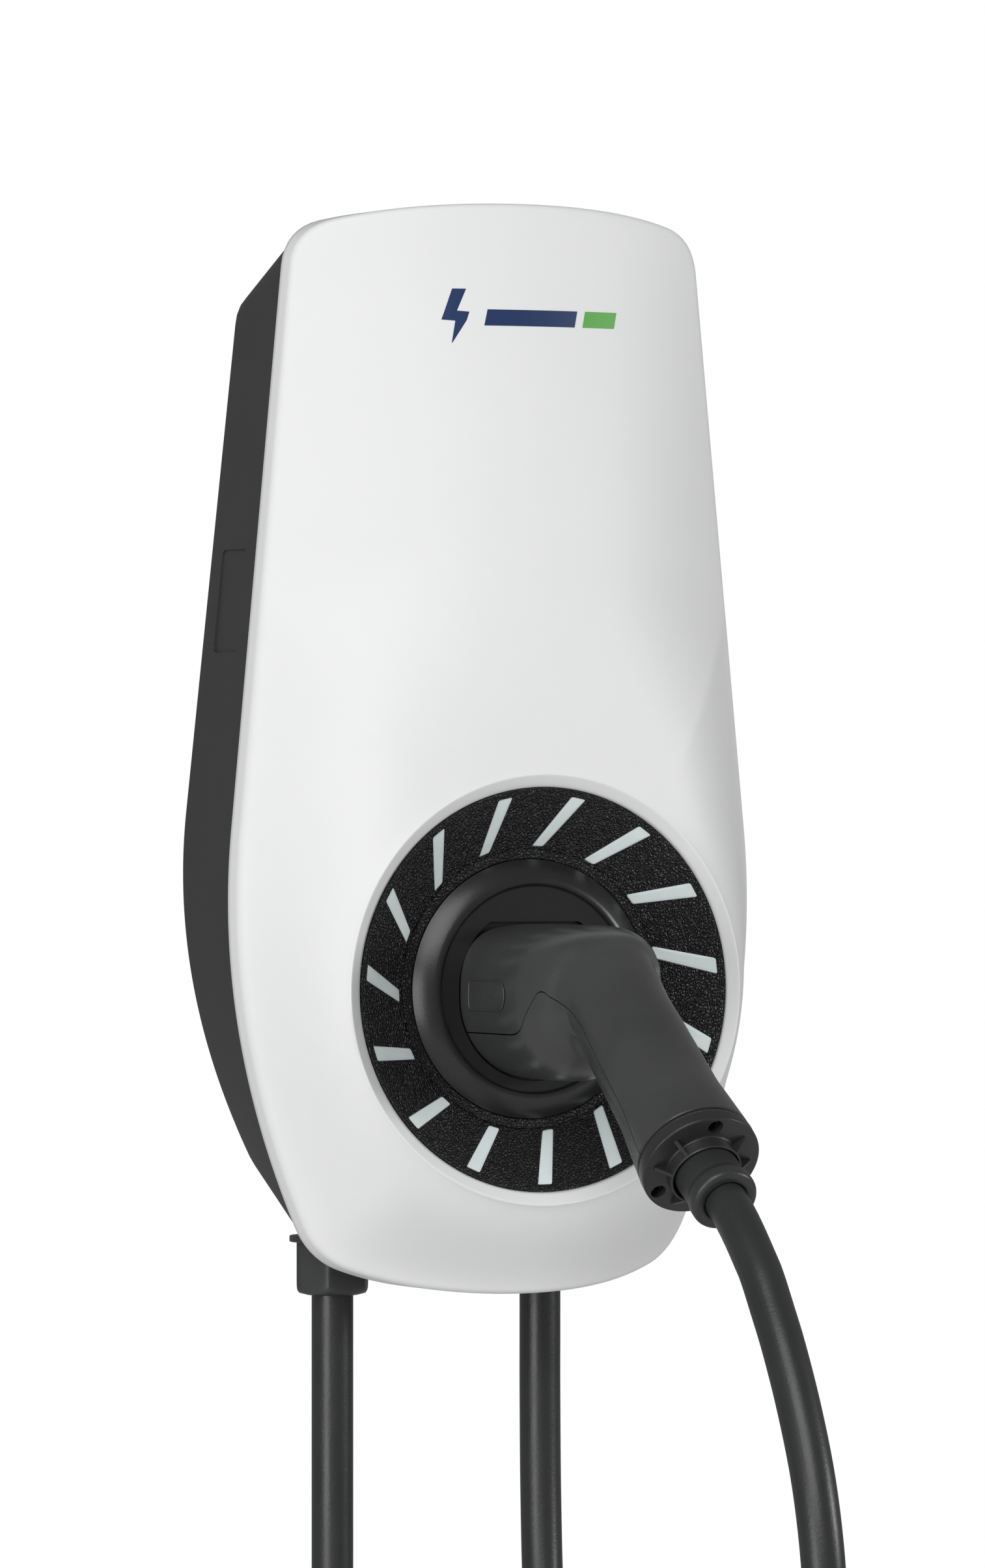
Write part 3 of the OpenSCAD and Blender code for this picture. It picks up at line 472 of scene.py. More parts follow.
def body_outline(count):
    """The shield's outline, clockwise from the top middle, with points an even distance apart."""
    top_corner = np.array([side_x(top_z(side_x(half_h))), 0])
    top_corner[1] = top_z(top_corner[0])
    low_corner = np.array([side_x(bottom_z(side_x(-half_h + bottom_arch))), 0])
    low_corner[1] = bottom_z(low_corner[0])
    top_in = [top_corner[0] - top_cut, top_z(top_corner[0] - top_cut)]
    top_out = [side_x(top_corner[1] - top_cut), top_corner[1] - top_cut]
    low_in = [side_x(low_corner[1] + bottom_cut), low_corner[1] + bottom_cut]
    low_out = [low_corner[0] - bottom_cut, bottom_z(low_corner[0] - bottom_cut)]
    along_top = np.linspace(0, top_in[0], 60)
    along_side = np.linspace(top_out[1], low_in[1], 200)
    along_low = np.linspace(low_out[0], 0, 60)
    half = np.vstack([np.column_stack([along_top, top_z(along_top)]),
                      bend(top_in, top_corner, top_out, 40),
                      np.column_stack([side_x(along_side), along_side]),
                      bend(low_in, low_corner, low_out, 40),
                      np.column_stack([along_low, bottom_z(along_low)])])
    whole = np.vstack([half, half[::-1] * [-1, 1]])
    whole = whole[np.concatenate([[True], np.linalg.norm(np.diff(whole, axis=0), axis=1) > 1e-6])]
    return even(whole, length_of(whole) / (count + 0.01))[:count]


def loop_direction(points):
    """Unit direction of a closed line at each of its points."""
    along = np.roll(points, -1, axis=0) - np.roll(points, 1, axis=0)
    return along / np.linalg.norm(along, axis=1)[:, None]


def inset(points, distance):
    """The outline moved inwards along its own normals."""
    along = loop_direction(points)
    return points + distance * np.column_stack([along[:, 1], -along[:, 0]])


cover_points = 360
outline = body_outline(cover_points)
dial = np.array([0, dial_z])
outline_turn = np.unwrap(np.arctan2(*(outline - dial).T[::-1]))
outline_reach = np.linalg.norm(outline - dial, axis=1)


def reach(turn):
    """Distance from the dial's centre to the outline in a direction, by interpolation round the outline."""
    order = np.argsort(outline_turn)
    turns, reaches = outline_turn[order], outline_reach[order]
    return np.interp((turn - turns[0]) % (2 * np.pi) + turns[0], turns, reaches, period=2 * np.pi)


def crown(z):
    """Height of the middle line above the side wall: full at the dial, falling to edge_crown at both ends."""
    q = np.where(z > crown_top_z, (z - crown_top_z) / (half_h - crown_top_z),
                 np.clip((dial_z - z) / (dial_z + half_h), 0, None))
    return cover_crown - (cover_crown - edge_crown) * np.abs(q) ** 1.3


def front_height(points):
    """Height above the side wall at points [x, z]: a parabola across the body, drawn up to the dial's rim by
    a weight that falls from 1 at the rim to 0 at most blend_w away from it."""
    offset = points - dial
    radius = np.linalg.norm(offset, axis=-1)
    span = reach(np.arctan2(offset[..., 1], offset[..., 0])) - flat_r
    arc = np.clip(crown(points[..., 1]) * (1 - (points[..., 0] / side_x(points[..., 1])) ** 2), 0, None)
    near = np.clip(1 - (radius - flat_r) / np.minimum(span, blend_w), 0, 1)
    weight = 0.4 * near**2 * (3 - 2 * near) + 0.6 * near**1.5
    return arc * (1 - weight) + cover_crown * weight


def lay(points, depth):
    """Front-view points [x, z] at a depth, as points of the row frame."""
    return np.column_stack([points[:, 0], -np.broadcast_to(depth, len(points)), points[:, 1]])


def ray_ring(ring, inner, share):
    """Points on the rays from the dial's centre to a ring, a share of the way from a radius to the ring."""
    offset = ring - dial
    outer = np.linalg.norm(offset, axis=1)
    return dial + offset / outer[:, None] * (inner + (outer - inner) * share)[:, None]


def rim(radius, depth):
    """Circle round the dial, its points on the rays to the outline's points."""
    return lay(ray_ring(outline, radius, 0), depth)


cover_in, wall_ring = inset(outline, cover_fillet), inset(outline, cover_wall)
bevel_low, bevel_high = dial_d - 1.45, dial_d + 1.05
rings = [rim(dish_r + 0.3, dial_d - 3.5), rim(dish_r + 0.3, dial_d - 1.7), rim(dish_r + 0.6, bevel_low)]
rings += [rim(r, bevel_low + (bevel_high - bevel_low) * (r - dish_r - 0.6) / (flat_r - dish_r - 0.9))
          for r in np.linspace(dish_r + 1, flat_r - 0.3, 6)]
rings += [rim(flat_r - 0.05, dial_d + 1.12), rim(flat_r + 0.25, dial_d + 1.0)]
for share in np.linspace(0, 1, 56)[1:] ** 1.15:
    ring = ray_ring(cover_in, flat_r + 0.25, share)
    rings.append(lay(ring, crease_d + front_height(ring) + np.exp(-share * 16)))
last_depth = -rings[-1][:, 1]
crease = crease_d + front_height(outline)
fillet_end = crease - cover_fillet
for t in np.linspace(0, 1, 7)[1:]:
    rings.append(lay((1 - t) ** 2 * cover_in + (1 - (1 - t) ** 2) * outline,
                     (1 - t) ** 2 * last_depth + 2 * t * (1 - t) * crease + t**2 * fillet_end))
rings += [lay(outline, fillet_end - (fillet_end - housing_d - 0.5) * t) for t in (0.33, 0.67, 1)]
rings += [lay(inset(outline, 0.5), housing_d), lay(wall_ring, housing_d), lay(wall_ring, housing_d + 3)]
for share in np.linspace(1, 0, 18) ** 1.15:
    ring = ray_ring(wall_ring, flat_r - 2, share)
    rings.append(lay(ring, crease_d + front_height(ring) - cover_wall))
front_cover = surface("front_cover_shell", rings, ends="looped", sharp=50, flip=True)


def cover_finish():
    """Satin white plastic: spark-eroded fine grain, a slight waviness and a breath of dust."""
    made = Finish("cover_white")
    grain = made.noise(0.0007, 2)
    wave = made.noise(0.06, 2)
    dust = made.noise(0.012, 4)
    made.set(Base_Color=made.between(wave * 0.6 + dust * 0.4, (0.80, 0.808, 0.805), (0.845, 0.85, 0.848)),
             Roughness=dust * 0.08 + 0.44, Normal=made.bump(grain, 0.00004, 0.3), Specular_IOR_Level=0.45)
    return made.material


coat(front_cover, cover_finish(), "charger", ["front_cover"])

# ---- Rear housing ----
# Dark grey moulding with a fine eroded texture. It tapers to the wall, carries the two cable glands in round
# pockets in its underside, and has a shallow label recess on its left side.

housing_inset, housing_wall, back_squeeze, back_shift = 1.2, 3, 0.875, 3
panel_d, panel_t = 6, 3
pocket_r, pocket_wall, boss_h, gland_bore = 19, 2.5, 10, 12.5
label_d, label_z, label_sunk = 22.5, 54.7, 1.0
washer_t, gland_nut_h = 2.4, 19.7
boss_z = supply_low + gland_nut_h + washer_t


def housing_ring(distance, depth, points):
    """The inset outline at a depth, squeezed towards a point just above its middle as it nears the wall."""
    k = (housing_d - depth) / housing_d
    ring = inset(points, distance)
    return np.column_stack([ring[:, 0], ring[:, 1] * (1 - (1 - back_squeeze) * k) + back_shift * k])


def housing_block(name, distance, low, high, edge=0.0, count=240):
    """Closed block between two depths, its rear edge rounded by `edge`."""
    points = body_outline(count)
    steps = [(distance + edge * (1 - math.sin(a)), low + edge * (1 - math.cos(a)))
             for a in np.linspace(0, np.pi / 2, 5)] if edge else [(distance, low)]
    depths = steps + [(distance, d) for d in np.linspace(low + edge, high, 7)[1:]]
    return surface(name, [lay(housing_ring(i, d, points), d) for i, d in depths], flip=True)


def rod_block(radius, start, end):
    """Round rod between two points."""
    return tube("rod", [start, end], radius, 48)


def cut(target, tool, operation="DIFFERENCE"):
    """Boolean of two closed pieces, applied at once; the tool is thrown away."""
    bpy.context.view_layer.update()
    change = target.modifiers.new("cut", "BOOLEAN")
    change.operation, change.solver, change.object = operation, "EXACT", tool
    bpy.context.view_layer.update()
    shaped = bpy.data.meshes.new_from_object(target.evaluated_get(bpy.context.evaluated_depsgraph_get()))
    target.modifiers.clear()
    target.data = shaped
    bpy.data.objects.remove(tool)
    shaped.shade_smooth()
    shaped.set_sharp_from_angle(angle=math.radians(35))


def outward(made, weld=0.0):
    """Merges a closed piece's points that lie within `weld` metres, and turns its faces outwards."""
    work = bmesh.new()
    work.from_mesh(made.data)
    if weld:
        bmesh.ops.remove_doubles(work, verts=work.verts, dist=weld)
    bmesh.ops.recalc_face_normals(work, faces=work.faces)
    work.to_mesh(made.data)
    work.free()
    return made


rear_shell = housing_block("rear_housing_shell", housing_inset, 0, housing_d - 0.05, edge=1.2)
hollows = [housing_block("back_recess", housing_inset + housing_wall, -2, panel_d, count=160),
           housing_block("cavity", housing_inset + housing_wall, panel_d + panel_t, housing_d + 5, count=160)]
boss_r = pocket_r + pocket_wall
for hollow in hollows:
    for x in (supply_x, charging_x):
        cut(hollow, rod_block(boss_r, (x, gland_y, boss_z - 30), (x, gland_y, boss_z + boss_h)))
    cut(rear_shell, hollow)
for x in (supply_x, charging_x):
    cut(rear_shell, rod_block(pocket_r, (x, gland_y, boss_z - 40), (x, gland_y, boss_z)))
    cut(rear_shell, rod_block(gland_bore, (x, gland_y, boss_z - 5), (x, gland_y, boss_z + boss_h + 5)))


def label_recess():
    """Slab with rounded corners that cuts label_sunk into the left wall. Its faces follow the wall."""
    ring = rounded_box((11.5, 19), [2.5] * 4, 7)
    z = label_z + ring[:, 1]
    wall_x = -(side_x(z) - housing_inset)
    return outward(surface("label_recess", [np.column_stack([x, -(label_d + ring[:, 0]), z])
                                            for x in (wall_x - housing_inset - 5, wall_x + label_sunk)]))


cut(rear_shell, label_recess())


def housing_finish(name="housing_grey", dark=(0.026, 0.027, 0.026), bright=(0.036, 0.037, 0.035), rough=0.46):
    """Dark grey plastic with an eroded texture that scatters small glints, and a little dust."""
    return clouded(name, dark, bright, (0.03, 4), (rough, 0.12), (0.0008, 3, 0.00018, 0.5))


coat(rear_shell, housing_finish(), "charger", ["rear_housing"])

# ---- Glands ----
# Two moulded cable glands: a flange against the housing, and a domed hexagonal nut that squeezes the seal.

gland_corner_r, gland_seat = 14.9, 16
upright = np.array([0, 0, 1.0])


def about(origin, axis, radius, height, turn):
    """Points round an axis that is square to X, at angles from X, at a radius and a height along the axis."""
    cos, sin = np.cos(turn)[:, None], np.sin(turn)[:, None]
    spoke = cos * np.array([1.0, 0, 0]) + sin * np.cross(axis, (1, 0, 0))
    return np.array(origin) + np.broadcast_to(radius, len(turn))[:, None] * spoke + height * axis


def hex_nut(name, x):
    """Nut as a grid round its axis: at each height the radius is a smooth minimum of a rounded hexagon and of
    a dome, r = (hex^-p + dome^-p)^(-1/p), closed by a bore of the cable's size."""
    a = np.linspace(0, 2 * np.pi, 144, endpoint=False)
    hexagon = gland_corner_r * math.cos(np.pi / 6) / np.cos(a % (np.pi / 3) - np.pi / 6)
    hexagon = (hexagon**-40.0 + (gland_corner_r * 0.985) ** -40.0) ** (-1 / 40)
    height = gland_nut_h * np.linspace(0, 1, 26)
    dome = gland_corner_r - 5.5 + 6.5 * np.sqrt(np.clip(1 - (1 - np.clip(height / 6.2, 0, 1)) ** 2, 0, 1))
    radius = (hexagon[None] ** -24.0 + dome[:, None] ** -24.0) ** (-1 / 24)
    bore = cable_d / 2 + 0.12
    inside = [(bore, gland_nut_h), (bore, 0.9), (bore + 0.6, 0.1)]
    rings = [about((x, gland_y, supply_low), upright, r, z, a) for r, z in [*zip(radius, height), *inside]]
    return surface(name, rings, ends="looped", sharp=40)


def turned_piece(name, profile, origin, axis, steps=128):
    """Surface of revolution: a closed profile of [radius, height] turned about an axis square to X."""
    a = np.linspace(0, 2 * np.pi, steps, endpoint=False)
    rings = [about(origin, axis, r, h, a) for r, h in profile]
    made = outward(surface(name, rings, ends="looped", sharp=38), weld=1e-7)
    made.data.shade_smooth()
    made.data.set_sharp_from_angle(angle=math.radians(38))
    return made


def rounded(points, radius, steps=4):
    """Profile with its corners rounded: a quadratic curve replaces each corner. It starts and ends `radius`
    away from the corner, or at most 0.45 of the way to the next one."""
    points = np.asarray(points, float)
    made = []
    for k, corner in enumerate(points):
        arms = [points[k - 1] - corner, points[(k + 1) % len(points)] - corner]
        sizes = [np.linalg.norm(arm) for arm in arms]
        ends = [corner + arm / size * min(radius, 0.45 * size) for arm, size in zip(arms, sizes)]
        made.append(bend(ends[0], corner, ends[1], steps))
    return np.vstack(made)


gland_plastic = housing_finish("gland_black", (0.030, 0.031, 0.031), (0.042, 0.043, 0.043), 0.36)
for name, x in (("supply", supply_x), ("charging", charging_x)):
    nut = hex_nut(f"{name}_gland_nut_domed", x)
    coat(nut, gland_plastic, "charger", [f"{name}_gland_nut"])
    flange = turned_piece(f"{name}_gland_flange",
                          rounded([[8.2, 0], [gland_seat, 0], [gland_seat, washer_t], [8.2, washer_t]], 0.5),
                          (x, gland_y, boss_z - washer_t), upright)
    coat(flange, gland_plastic, "charger", [f"{name}_gland_body"])

# ---- Dial ----
# Black moulded dish with a leather-like grain. Fifteen bars of a translucent white guide fill slots in its
# cone; they all lean one way round. A smooth collar in its middle guides the connector into the holster.

dish_foot_r, dish_slope = 51.3, 0.655
foot_d = dial_d - (dish_r - dish_foot_r) * dish_slope + 1.4
collar_lip_r, collar_foot_r, collar_h = 39.8, 47.7, 4.9
face_d = foot_d + 1.5
axis_out = np.array([0, -1.0, 0])
dial_origin = np.array([0, 0, dial_z])


def dish_depth(r):
    return dial_d - (dish_r - r) * dish_slope


dish_profile = [[collar_foot_r + 0.3, foot_d - 4], [collar_foot_r + 0.3, foot_d - 0.3],
                [collar_foot_r + 0.6, foot_d], [dish_foot_r - 0.4, foot_d], [dish_foot_r, foot_d - 0.4]]
dish_profile += [[r, dish_depth(r)] for r in np.linspace(dish_foot_r + 0.05, dish_r - 0.5, 12)]
dish_profile += [[dish_r - 0.1, dial_d - 0.25], [dish_r, dial_d - 0.8], [dish_r, dial_d - 6],
                 [dish_foot_r + 2, dish_depth(dish_foot_r) - 2.5], [dish_foot_r + 2, foot_d - 4]]
dial_dish = turned_piece("dial_dish_grained", dish_profile, dial_origin, axis_out, steps=300)

bar_count, bar_swirl, bar_start = 15, math.radians(-8), math.radians(-3.6)


def bar_solid(turn, shrink, sink, depth_below):
    """One bar: a four-sided prism with rounded corners that leans with bar_swirl. Its top lies `sink` below
    the cone and its foot `depth_below` under that. Rings run from the foot up and over a rounded rim."""
    ends = ((52.5 + shrink, 2.3 - shrink, bar_start), (71.6 - shrink, 3.0 - shrink, bar_start + bar_swirl))
    corners = [[r * math.cos(a) + side * half * math.sin(a), r * math.sin(a) - side * half * math.cos(a)]
               for (r, half, a), side in zip((ends[0], ends[1], ends[1], ends[0]), (1, 1, -1, -1))]
    flat = rounded(corners, 0.7, 4)
    middle = flat.mean(0)
    c, s = math.cos(turn), math.sin(turn)
    spin = np.array([[c, -s], [s, c]])
    rings = []
    for scale, drop in ((1, depth_below), (1, 0.35), (0.985, 0.1), (0.94, 0.0), (0.4, 0.0), (0.02, 0.0)):
        ring = (middle + (flat - middle) * scale) @ spin
        depth = dish_depth(np.linalg.norm(ring, axis=1)) - sink - drop
        rings.append(np.column_stack([ring[:, 0], -depth, dial_z + ring[:, 1]]))
    return outward(surface("bar", rings, sharp=45))


bar_turns = [math.radians(-90 - 360 * k / bar_count) for k in range(bar_count)]
for turn in bar_turns:
    cut(dial_dish, bar_solid(turn, -0.12, -3, 15))


def join(name, parts):
    """Several closed pieces as one mesh, their points and faces put end to end."""
    vertices, faces, start = [], [], 0
    for part in parts:
        co = np.empty(len(part.data.vertices) * 3)
        part.data.vertices.foreach_get("co", co)
        vertices.append(co.reshape(-1, 3) / MM)
        faces += [[v + start for v in p.vertices] for p in part.data.polygons]
        start += len(part.data.vertices)
        bpy.data.objects.remove(part)
    return piece_from(name, np.vstack(vertices), faces, sharp=45)


light_bars = join("light_bars", [bar_solid(turn, 0.05, 0.3, 8) for turn in bar_turns])


def dial_finish():
    """Near-black plastic with leather grain: rounded pebbles about 1 mm wide divided by fine creases."""
    made = Finish("dial_grain")
    spot = made.place()
    bend_by = made.node("TexNoise", {}, {"Vector": spot, "Scale": 900, "Detail": 2}, output=1)
    bent = made.node("VectorMath", {"operation": "MULTIPLY_ADD"},
                     {0: bend_by, 1: (0.0006, 0.0006, 0.0006), 2: spot})
    crease_map = made.node("TexVoronoi", {"feature": "DISTANCE_TO_EDGE"}, {"Vector": bent, "Scale": 800})
    pebble = made.node("ValToRGB", {"stops": [(0, (0, 0, 0, 1)), (0.22, (0.85, 0.85, 0.85, 1)),
                                              (0.5, (1, 1, 1, 1))]}, {"Fac": crease_map})
    fine = made.noise(0.0003, 2)
    made.set(Base_Color=made.between(pebble, (0.006, 0.006, 0.006), (0.016, 0.016, 0.0165)),
             Roughness=0.38 - pebble * 0.16, Normal=made.bump(pebble + fine * 0.15, 0.0008, 1.0))
    return made.material


def bar_finish():
    """Translucent white plastic, slightly cool and faintly lit."""
    return clouded("light_bar", (0.60, 0.66, 0.66), (0.70, 0.76, 0.76), (0.005, 3), (0.3, 0.08),
                   Emission_Color=(0.75, 0.84, 0.84, 1), Emission_Strength=0.12)


coat(dial_dish, dial_finish(), "charger", ["dial_dish"])
coat(light_bars, bar_finish(), "charger", ["light_guide"])

lip_d = foot_d + collar_h
rim_face_d = lip_d - 1.0
collar_profile = rounded([[1, foot_d - 4], [1, rim_face_d], [collar_lip_r - 1.9, rim_face_d],
                          [collar_lip_r - 1.2, lip_d], [collar_lip_r + 0.1, lip_d]], 0.5).tolist()
collar_profile += [[collar_lip_r + (collar_foot_r - collar_lip_r) * t,
                    lip_d - collar_h * (0.55 * t + 0.45 * t**2)] for t in np.linspace(0, 1, 12)[1:]]
collar_profile += [[collar_foot_r, foot_d - 4]]
collar = turned_piece("holster_collar_ring", collar_profile, dial_origin, axis_out, steps=240)
nose_r, nose_flat, nose_gap = 26.5, 19.5, 0.5
head_r, head_flat, head_low, head_gap = 30, 24, 3, 0.8


def dial_prism(across, up, low, high):
    """Prism between two depths whose outline is given about the dial's centre."""
    ring = np.column_stack([across, dial_z + up])
    return outward(surface("prism", [lay(ring, low), lay(ring, high)]))


def nose_prism(radius, flat):
    """Prism of the nose's outline: a circle with its top cut flat."""
    cos, sin = circle(120)
    return dial_prism(radius * cos, np.minimum(radius * sin, flat), foot_d - 10, foot_d + 10)


def head_bay(radius, flat):
    """Prism of the head's outline: a round underside centred head_low down, straight flanks, a flat top."""
    cos, sin = circle(144)
    up = np.where(sin > 0, np.minimum(radius * sin, flat), radius * sin - head_low)
    return dial_prism(radius * cos, up, face_d, face_d + 9)


cut(collar, nose_prism(nose_r + nose_gap, nose_flat + nose_gap))
cut(collar, head_bay(head_r + head_gap, head_flat + head_gap))


def collar_finish():
    """Smooth satin black plastic with a faint orange peel."""
    return clouded("collar_satin", (0.012, 0.012, 0.013), (0.018, 0.018, 0.019), (0.02, 3), (0.24, 0.08),
                   (0.0011, 2, 0.00006, 0.4))


coat(collar, collar_finish(), "charger", ["holster_collar"])

# ---- Connector shells ----
# The connector's head and handle are two satin grey half shells. The head has a flattened top and a round
# underside; it bends down into a round handle that swells towards its end cap. A fine gap shows the seam.

plug_dip = math.radians(38.7)
elbow = np.array([44.0, 7.0])
handle_dir = np.array([math.cos(plug_dip), -math.sin(plug_dip)])
handle_up = np.array([math.sin(plug_dip), math.cos(plug_dip)])
handle_len, waist_at = 100, 75
head_back_o = face_d + nose_gap - dial_d


def handle_radius(l):
    return np.interp(l, [0, 30, waist_at, handle_len], [17.6, 18.3, 19.4, 21.8])


def handle_rail(l, side):
    return elbow + handle_dir * l + handle_up * handle_radius(l) * side


def side_view(points):
    """Points [out, up] from the dial's rim plane and centre, as [y, z] of the row frame."""
    return np.column_stack([-(dial_d + points[:, 0]), dial_z + points[:, 1]])


stations = [  # top rail, bottom rail, half width, exponent of the upper half, share of the middle line
    ([head_back_o, 24], [head_back_o, -33], 30, 3.0, 0.526),
    ([5, 24], [3, -33], 30, 3.0, 0.526),
    ([22, 24], [16, -33], 30, 3.0, 0.526),
    ([37, 24], [29, -32.6], 28.6, 2.8, 0.526),
    ([50, 22.2], [38, -29.8], 24.6, 2.55, 0.52),
    ([59.0, 17.2], [44.6, -25.2], 20.0, 2.3, 0.51),
    (handle_rail(17, 1), handle_rail(20.5, -1) + [0.2, 0.9], 18.2, 2.1, 0.5),
    (handle_rail(27, 1), handle_rail(28.5, -1), 18.1, 2.0, 0.5),
] + [(handle_rail(l, 1), handle_rail(l, -1), float(handle_radius(l)), 2.0, 0.5)
     for l in (38, 50, 62, 75, 84, 92, 99)]
rails = through([[*top, *low, width, power, middle] for top, low, width, power, middle in stations], 9)
rails[:, 4] = np.minimum(rails[:, 4], 30)


def plug_ring(rail, scale=1.0, shift=0.0):
    """Section between the rails: two half superellipses, |x/w|^n + |z/h|^n = 1, the upper with its own
    exponent and the lower with exponent 2, joined at the middle line. The scale shrinks it about that line."""
    top, low, (width, power, middle) = rail[:2], rail[2:4], rail[4:]
    cos, sin = circle(112)
    n = np.where(sin >= 0, power, 2.0)
    x = np.sign(cos) * np.abs(cos) ** (2 / n) * width
    tall = np.abs(sin) ** (2 / n) * np.where(sin >= 0, 1 - middle, -middle)
    centre = low + (top - low) * middle
    flat = centre + tall[:, None] * (top - low) * scale + shift * handle_dir
    return np.column_stack([x * scale, side_view(flat)])


plug_rings = []
for scale, step in ((0.955, 0.0), (0.975, 0.25), (0.99, 0.8), (1.0, 1.6)):
    plug_rings.append(plug_ring(rails[0], scale) - [0, step, 0])
plug_rings += [plug_ring(rail) for rail in rails[1:]]
plug_rings += [plug_ring(rails[-1], scale, shift) for scale, shift in ((1.0, 0.4), (0.992, 0.8), (0.97, 1.0))]
plug_body = outward(surface("plug_upper_half", plug_rings))
handle_axis = np.array([0, -handle_dir[0], handle_dir[1]])
elbow3 = np.array([0, -(dial_d + elbow[0]), dial_z + elbow[1]])
cut(plug_body, outward(rod_block(13, elbow3 + handle_axis * 14, elbow3 + handle_axis * 110)))

seam_peak, seam_gap = np.array([46.0, 2.2]), 0.45
seam_line = np.vstack([[[-60, -15.6], [26, -15.6]], bend([26, -15.6], [31.5, -15.6], [34.5, -12.4], 5)[1:],
                       bend([43.4, -1.2], seam_peak, [48.8, -1.4], 6), [elbow + handle_dir * 30],
                       [elbow + handle_dir * 240]])


def seam_prism(side):
    """Everything on one side of the seam: the seam line moved by half the gap, closed far above or below."""
    line = seam_line + [0, side * seam_gap / 2]
    ring = side_view(np.vstack([line, line[[-1, 0]] + [0, 260 * side]]))
    walls = [np.column_stack([np.full(len(ring), x), ring]) for x in (-60, 60)]
    return outward(surface("seam", walls, sharp=20))


lower_body = plug_body.copy()
lower_body.name, lower_body.data = "plug_lower_half", plug_body.data.copy()
bpy.context.scene.collection.objects.link(lower_body)
cut(plug_body, seam_prism(1), "INTERSECT")
cut(lower_body, seam_prism(-1), "INTERSECT")


def shell_finish(name, dark, bright, rough):
    """Satin grey plastic: fine eroded grain, soft lighter patches painted into the colour as sheen, faint
    scuffs.
    """
    made = Finish(name)
    grain, patch = made.noise(0.0009, 3), made.noise(0.028, 2)
    scuff = made.node("TexNoise", {}, {"Vector": made.place(scale=(30, 260, 60), turn=(0.4, 0.2, 0.9)),
                                       "Scale": 1.0, "Detail": 4})
    marks = made.node("ValToRGB", {"stops": [(0.60, (0, 0, 0, 1)), (0.72, (1, 1, 1, 1))]}, {"Fac": scuff})
    # The patch noise lightens the colour in soft patches: painted sheen.
    made.set(Base_Color=made.between(patch * 0.8 + marks * 0.05, dark, bright),
             Roughness=rough + patch * 0.10 - marks * 0.02,
             Normal=made.bump(grain + marks * 0.03, 0.00012, 0.5))
    return made.material


plug_plastic = shell_finish("plug_grey", (0.034, 0.0345, 0.035), (0.062, 0.063, 0.064), 0.24)
coat(plug_body, plug_plastic, "plug", ["plug_upper_shell"])
coat(lower_body, plug_plastic, "plug", ["plug_lower_shell"])


def flank_inlay():
    """Thin raised line round a rounded rectangle on the head's left flank, laid on the shell's section."""
    loop = rounded_box((15, 5.5), (5.4, 1.5, 1.5, 5.4), 6)
    loop = even(np.vstack([loop, loop[:1]]), 1.2)[:-1] + [12, -1.5]
    up = (loop[:, 1] + 3) / np.where(loop[:, 1] > -3, 27, 30)
    power = np.where(loop[:, 1] > -3, 3.0, 2.0)
    x = -30 * (1 - np.abs(up) ** power) ** (1 / power)
    centre = np.column_stack([x, side_view(loop)])
    outwards = np.tile([-1.0, 0, 0], (len(centre), 1))
    across = np.cross(loop_direction(centre), outwards)
    cos, sin = circle(8)
    rings = centre[:, None] + 0.42 * (0.8 * cos[:, None] * outwards[:, None] + sin[:, None] * across[:, None])
    return outward(surface("plug_flank_line", rings, ends="looped", sharp=60))


coat(flank_inlay(), plug_plastic, "plug")

# ---- End cap and sleeve ----
# A separate round cap closes the handle, held by three screws in counterbores. A short collar with six thin
# fins stands on it, and the cable leaves through a slim grey sleeve with a thicker rim.

cap_r, cap_t, hub_r, hub_h, hub_bore = 22, 6.5, 13.4, 5.3, 12.4
cap_origin = elbow3 + handle_axis * handle_len
cap_profile = rounded([[hub_bore, 0.4], [cap_r - 0.6, 0.4], [cap_r - 0.6, 1.2], [cap_r, 1.6], [cap_r, cap_t],
                       [hub_r, cap_t], [hub_r, cap_t + hub_h], [hub_bore, cap_t + hub_h]], 0.7)
end_cap = turned_piece("plug_end_cap_round", cap_profile, cap_origin, handle_axis, steps=144)
cap_screw_r, cap_screw_angles, fin_angles = 17.9, (90, 222, 318), (6, 44, 140, 182, 251, 289)


def on_cap(angle, radius, height):
    """Point on the cap: an angle from +X towards the handle's upper side, a radius and a height."""
    return about(cap_origin, handle_axis, radius, height, np.radians([angle]))[0]


for angle in cap_screw_angles:
    counterbore = rod_block(2.8, on_cap(angle, cap_screw_r, 2.5), on_cap(angle, cap_screw_r, 12))
    cut(end_cap, outward(counterbore))
fins = []
for angle in fin_angles:
    a, b = on_cap(angle, hub_bore + 0.5, cap_t - 0.3), on_cap(angle, 18.6, cap_t - 0.3)
    across = np.cross(b - a, handle_axis)
    across *= 0.65 / np.linalg.norm(across)
    tall = np.array([a, b, b + handle_axis * 0.9, a + handle_axis * (hub_h + 0.1)])
    fins.append(outward(surface("fin", [tall - across, tall + across], sharp=20)))
cap_plastic = shell_finish("cap_grey", (0.017, 0.0172, 0.0175), (0.028, 0.0285, 0.029), 0.30)
coat(end_cap, cap_plastic, "plug", ["plug_end_cap"])
coat(join("plug_cap_fins", fins), cap_plastic, "plug")


def screw_head(centre, axis):
    """Low domed head with a six-lobed socket: the radius of the socket's wall is r = 1.05 + 0.18 cos 6a."""
    a = np.linspace(0, 2 * np.pi, 48, endpoint=False)
    lobes = 1.05 + 0.18 * np.cos(6 * a)
    steps = [(2.5, -1.2), (2.5, 0.9), (2.3, 1.35), (1.8, 1.7)]
    steps += [(lobes * share, height) for share, height in ((1.06, 1.85), (1, 1.7), (1, 0.5), (0.1, 0.45))]
    return outward(surface("screw", [about(centre, axis, r, h, a) for r, h in steps], sharp=35))


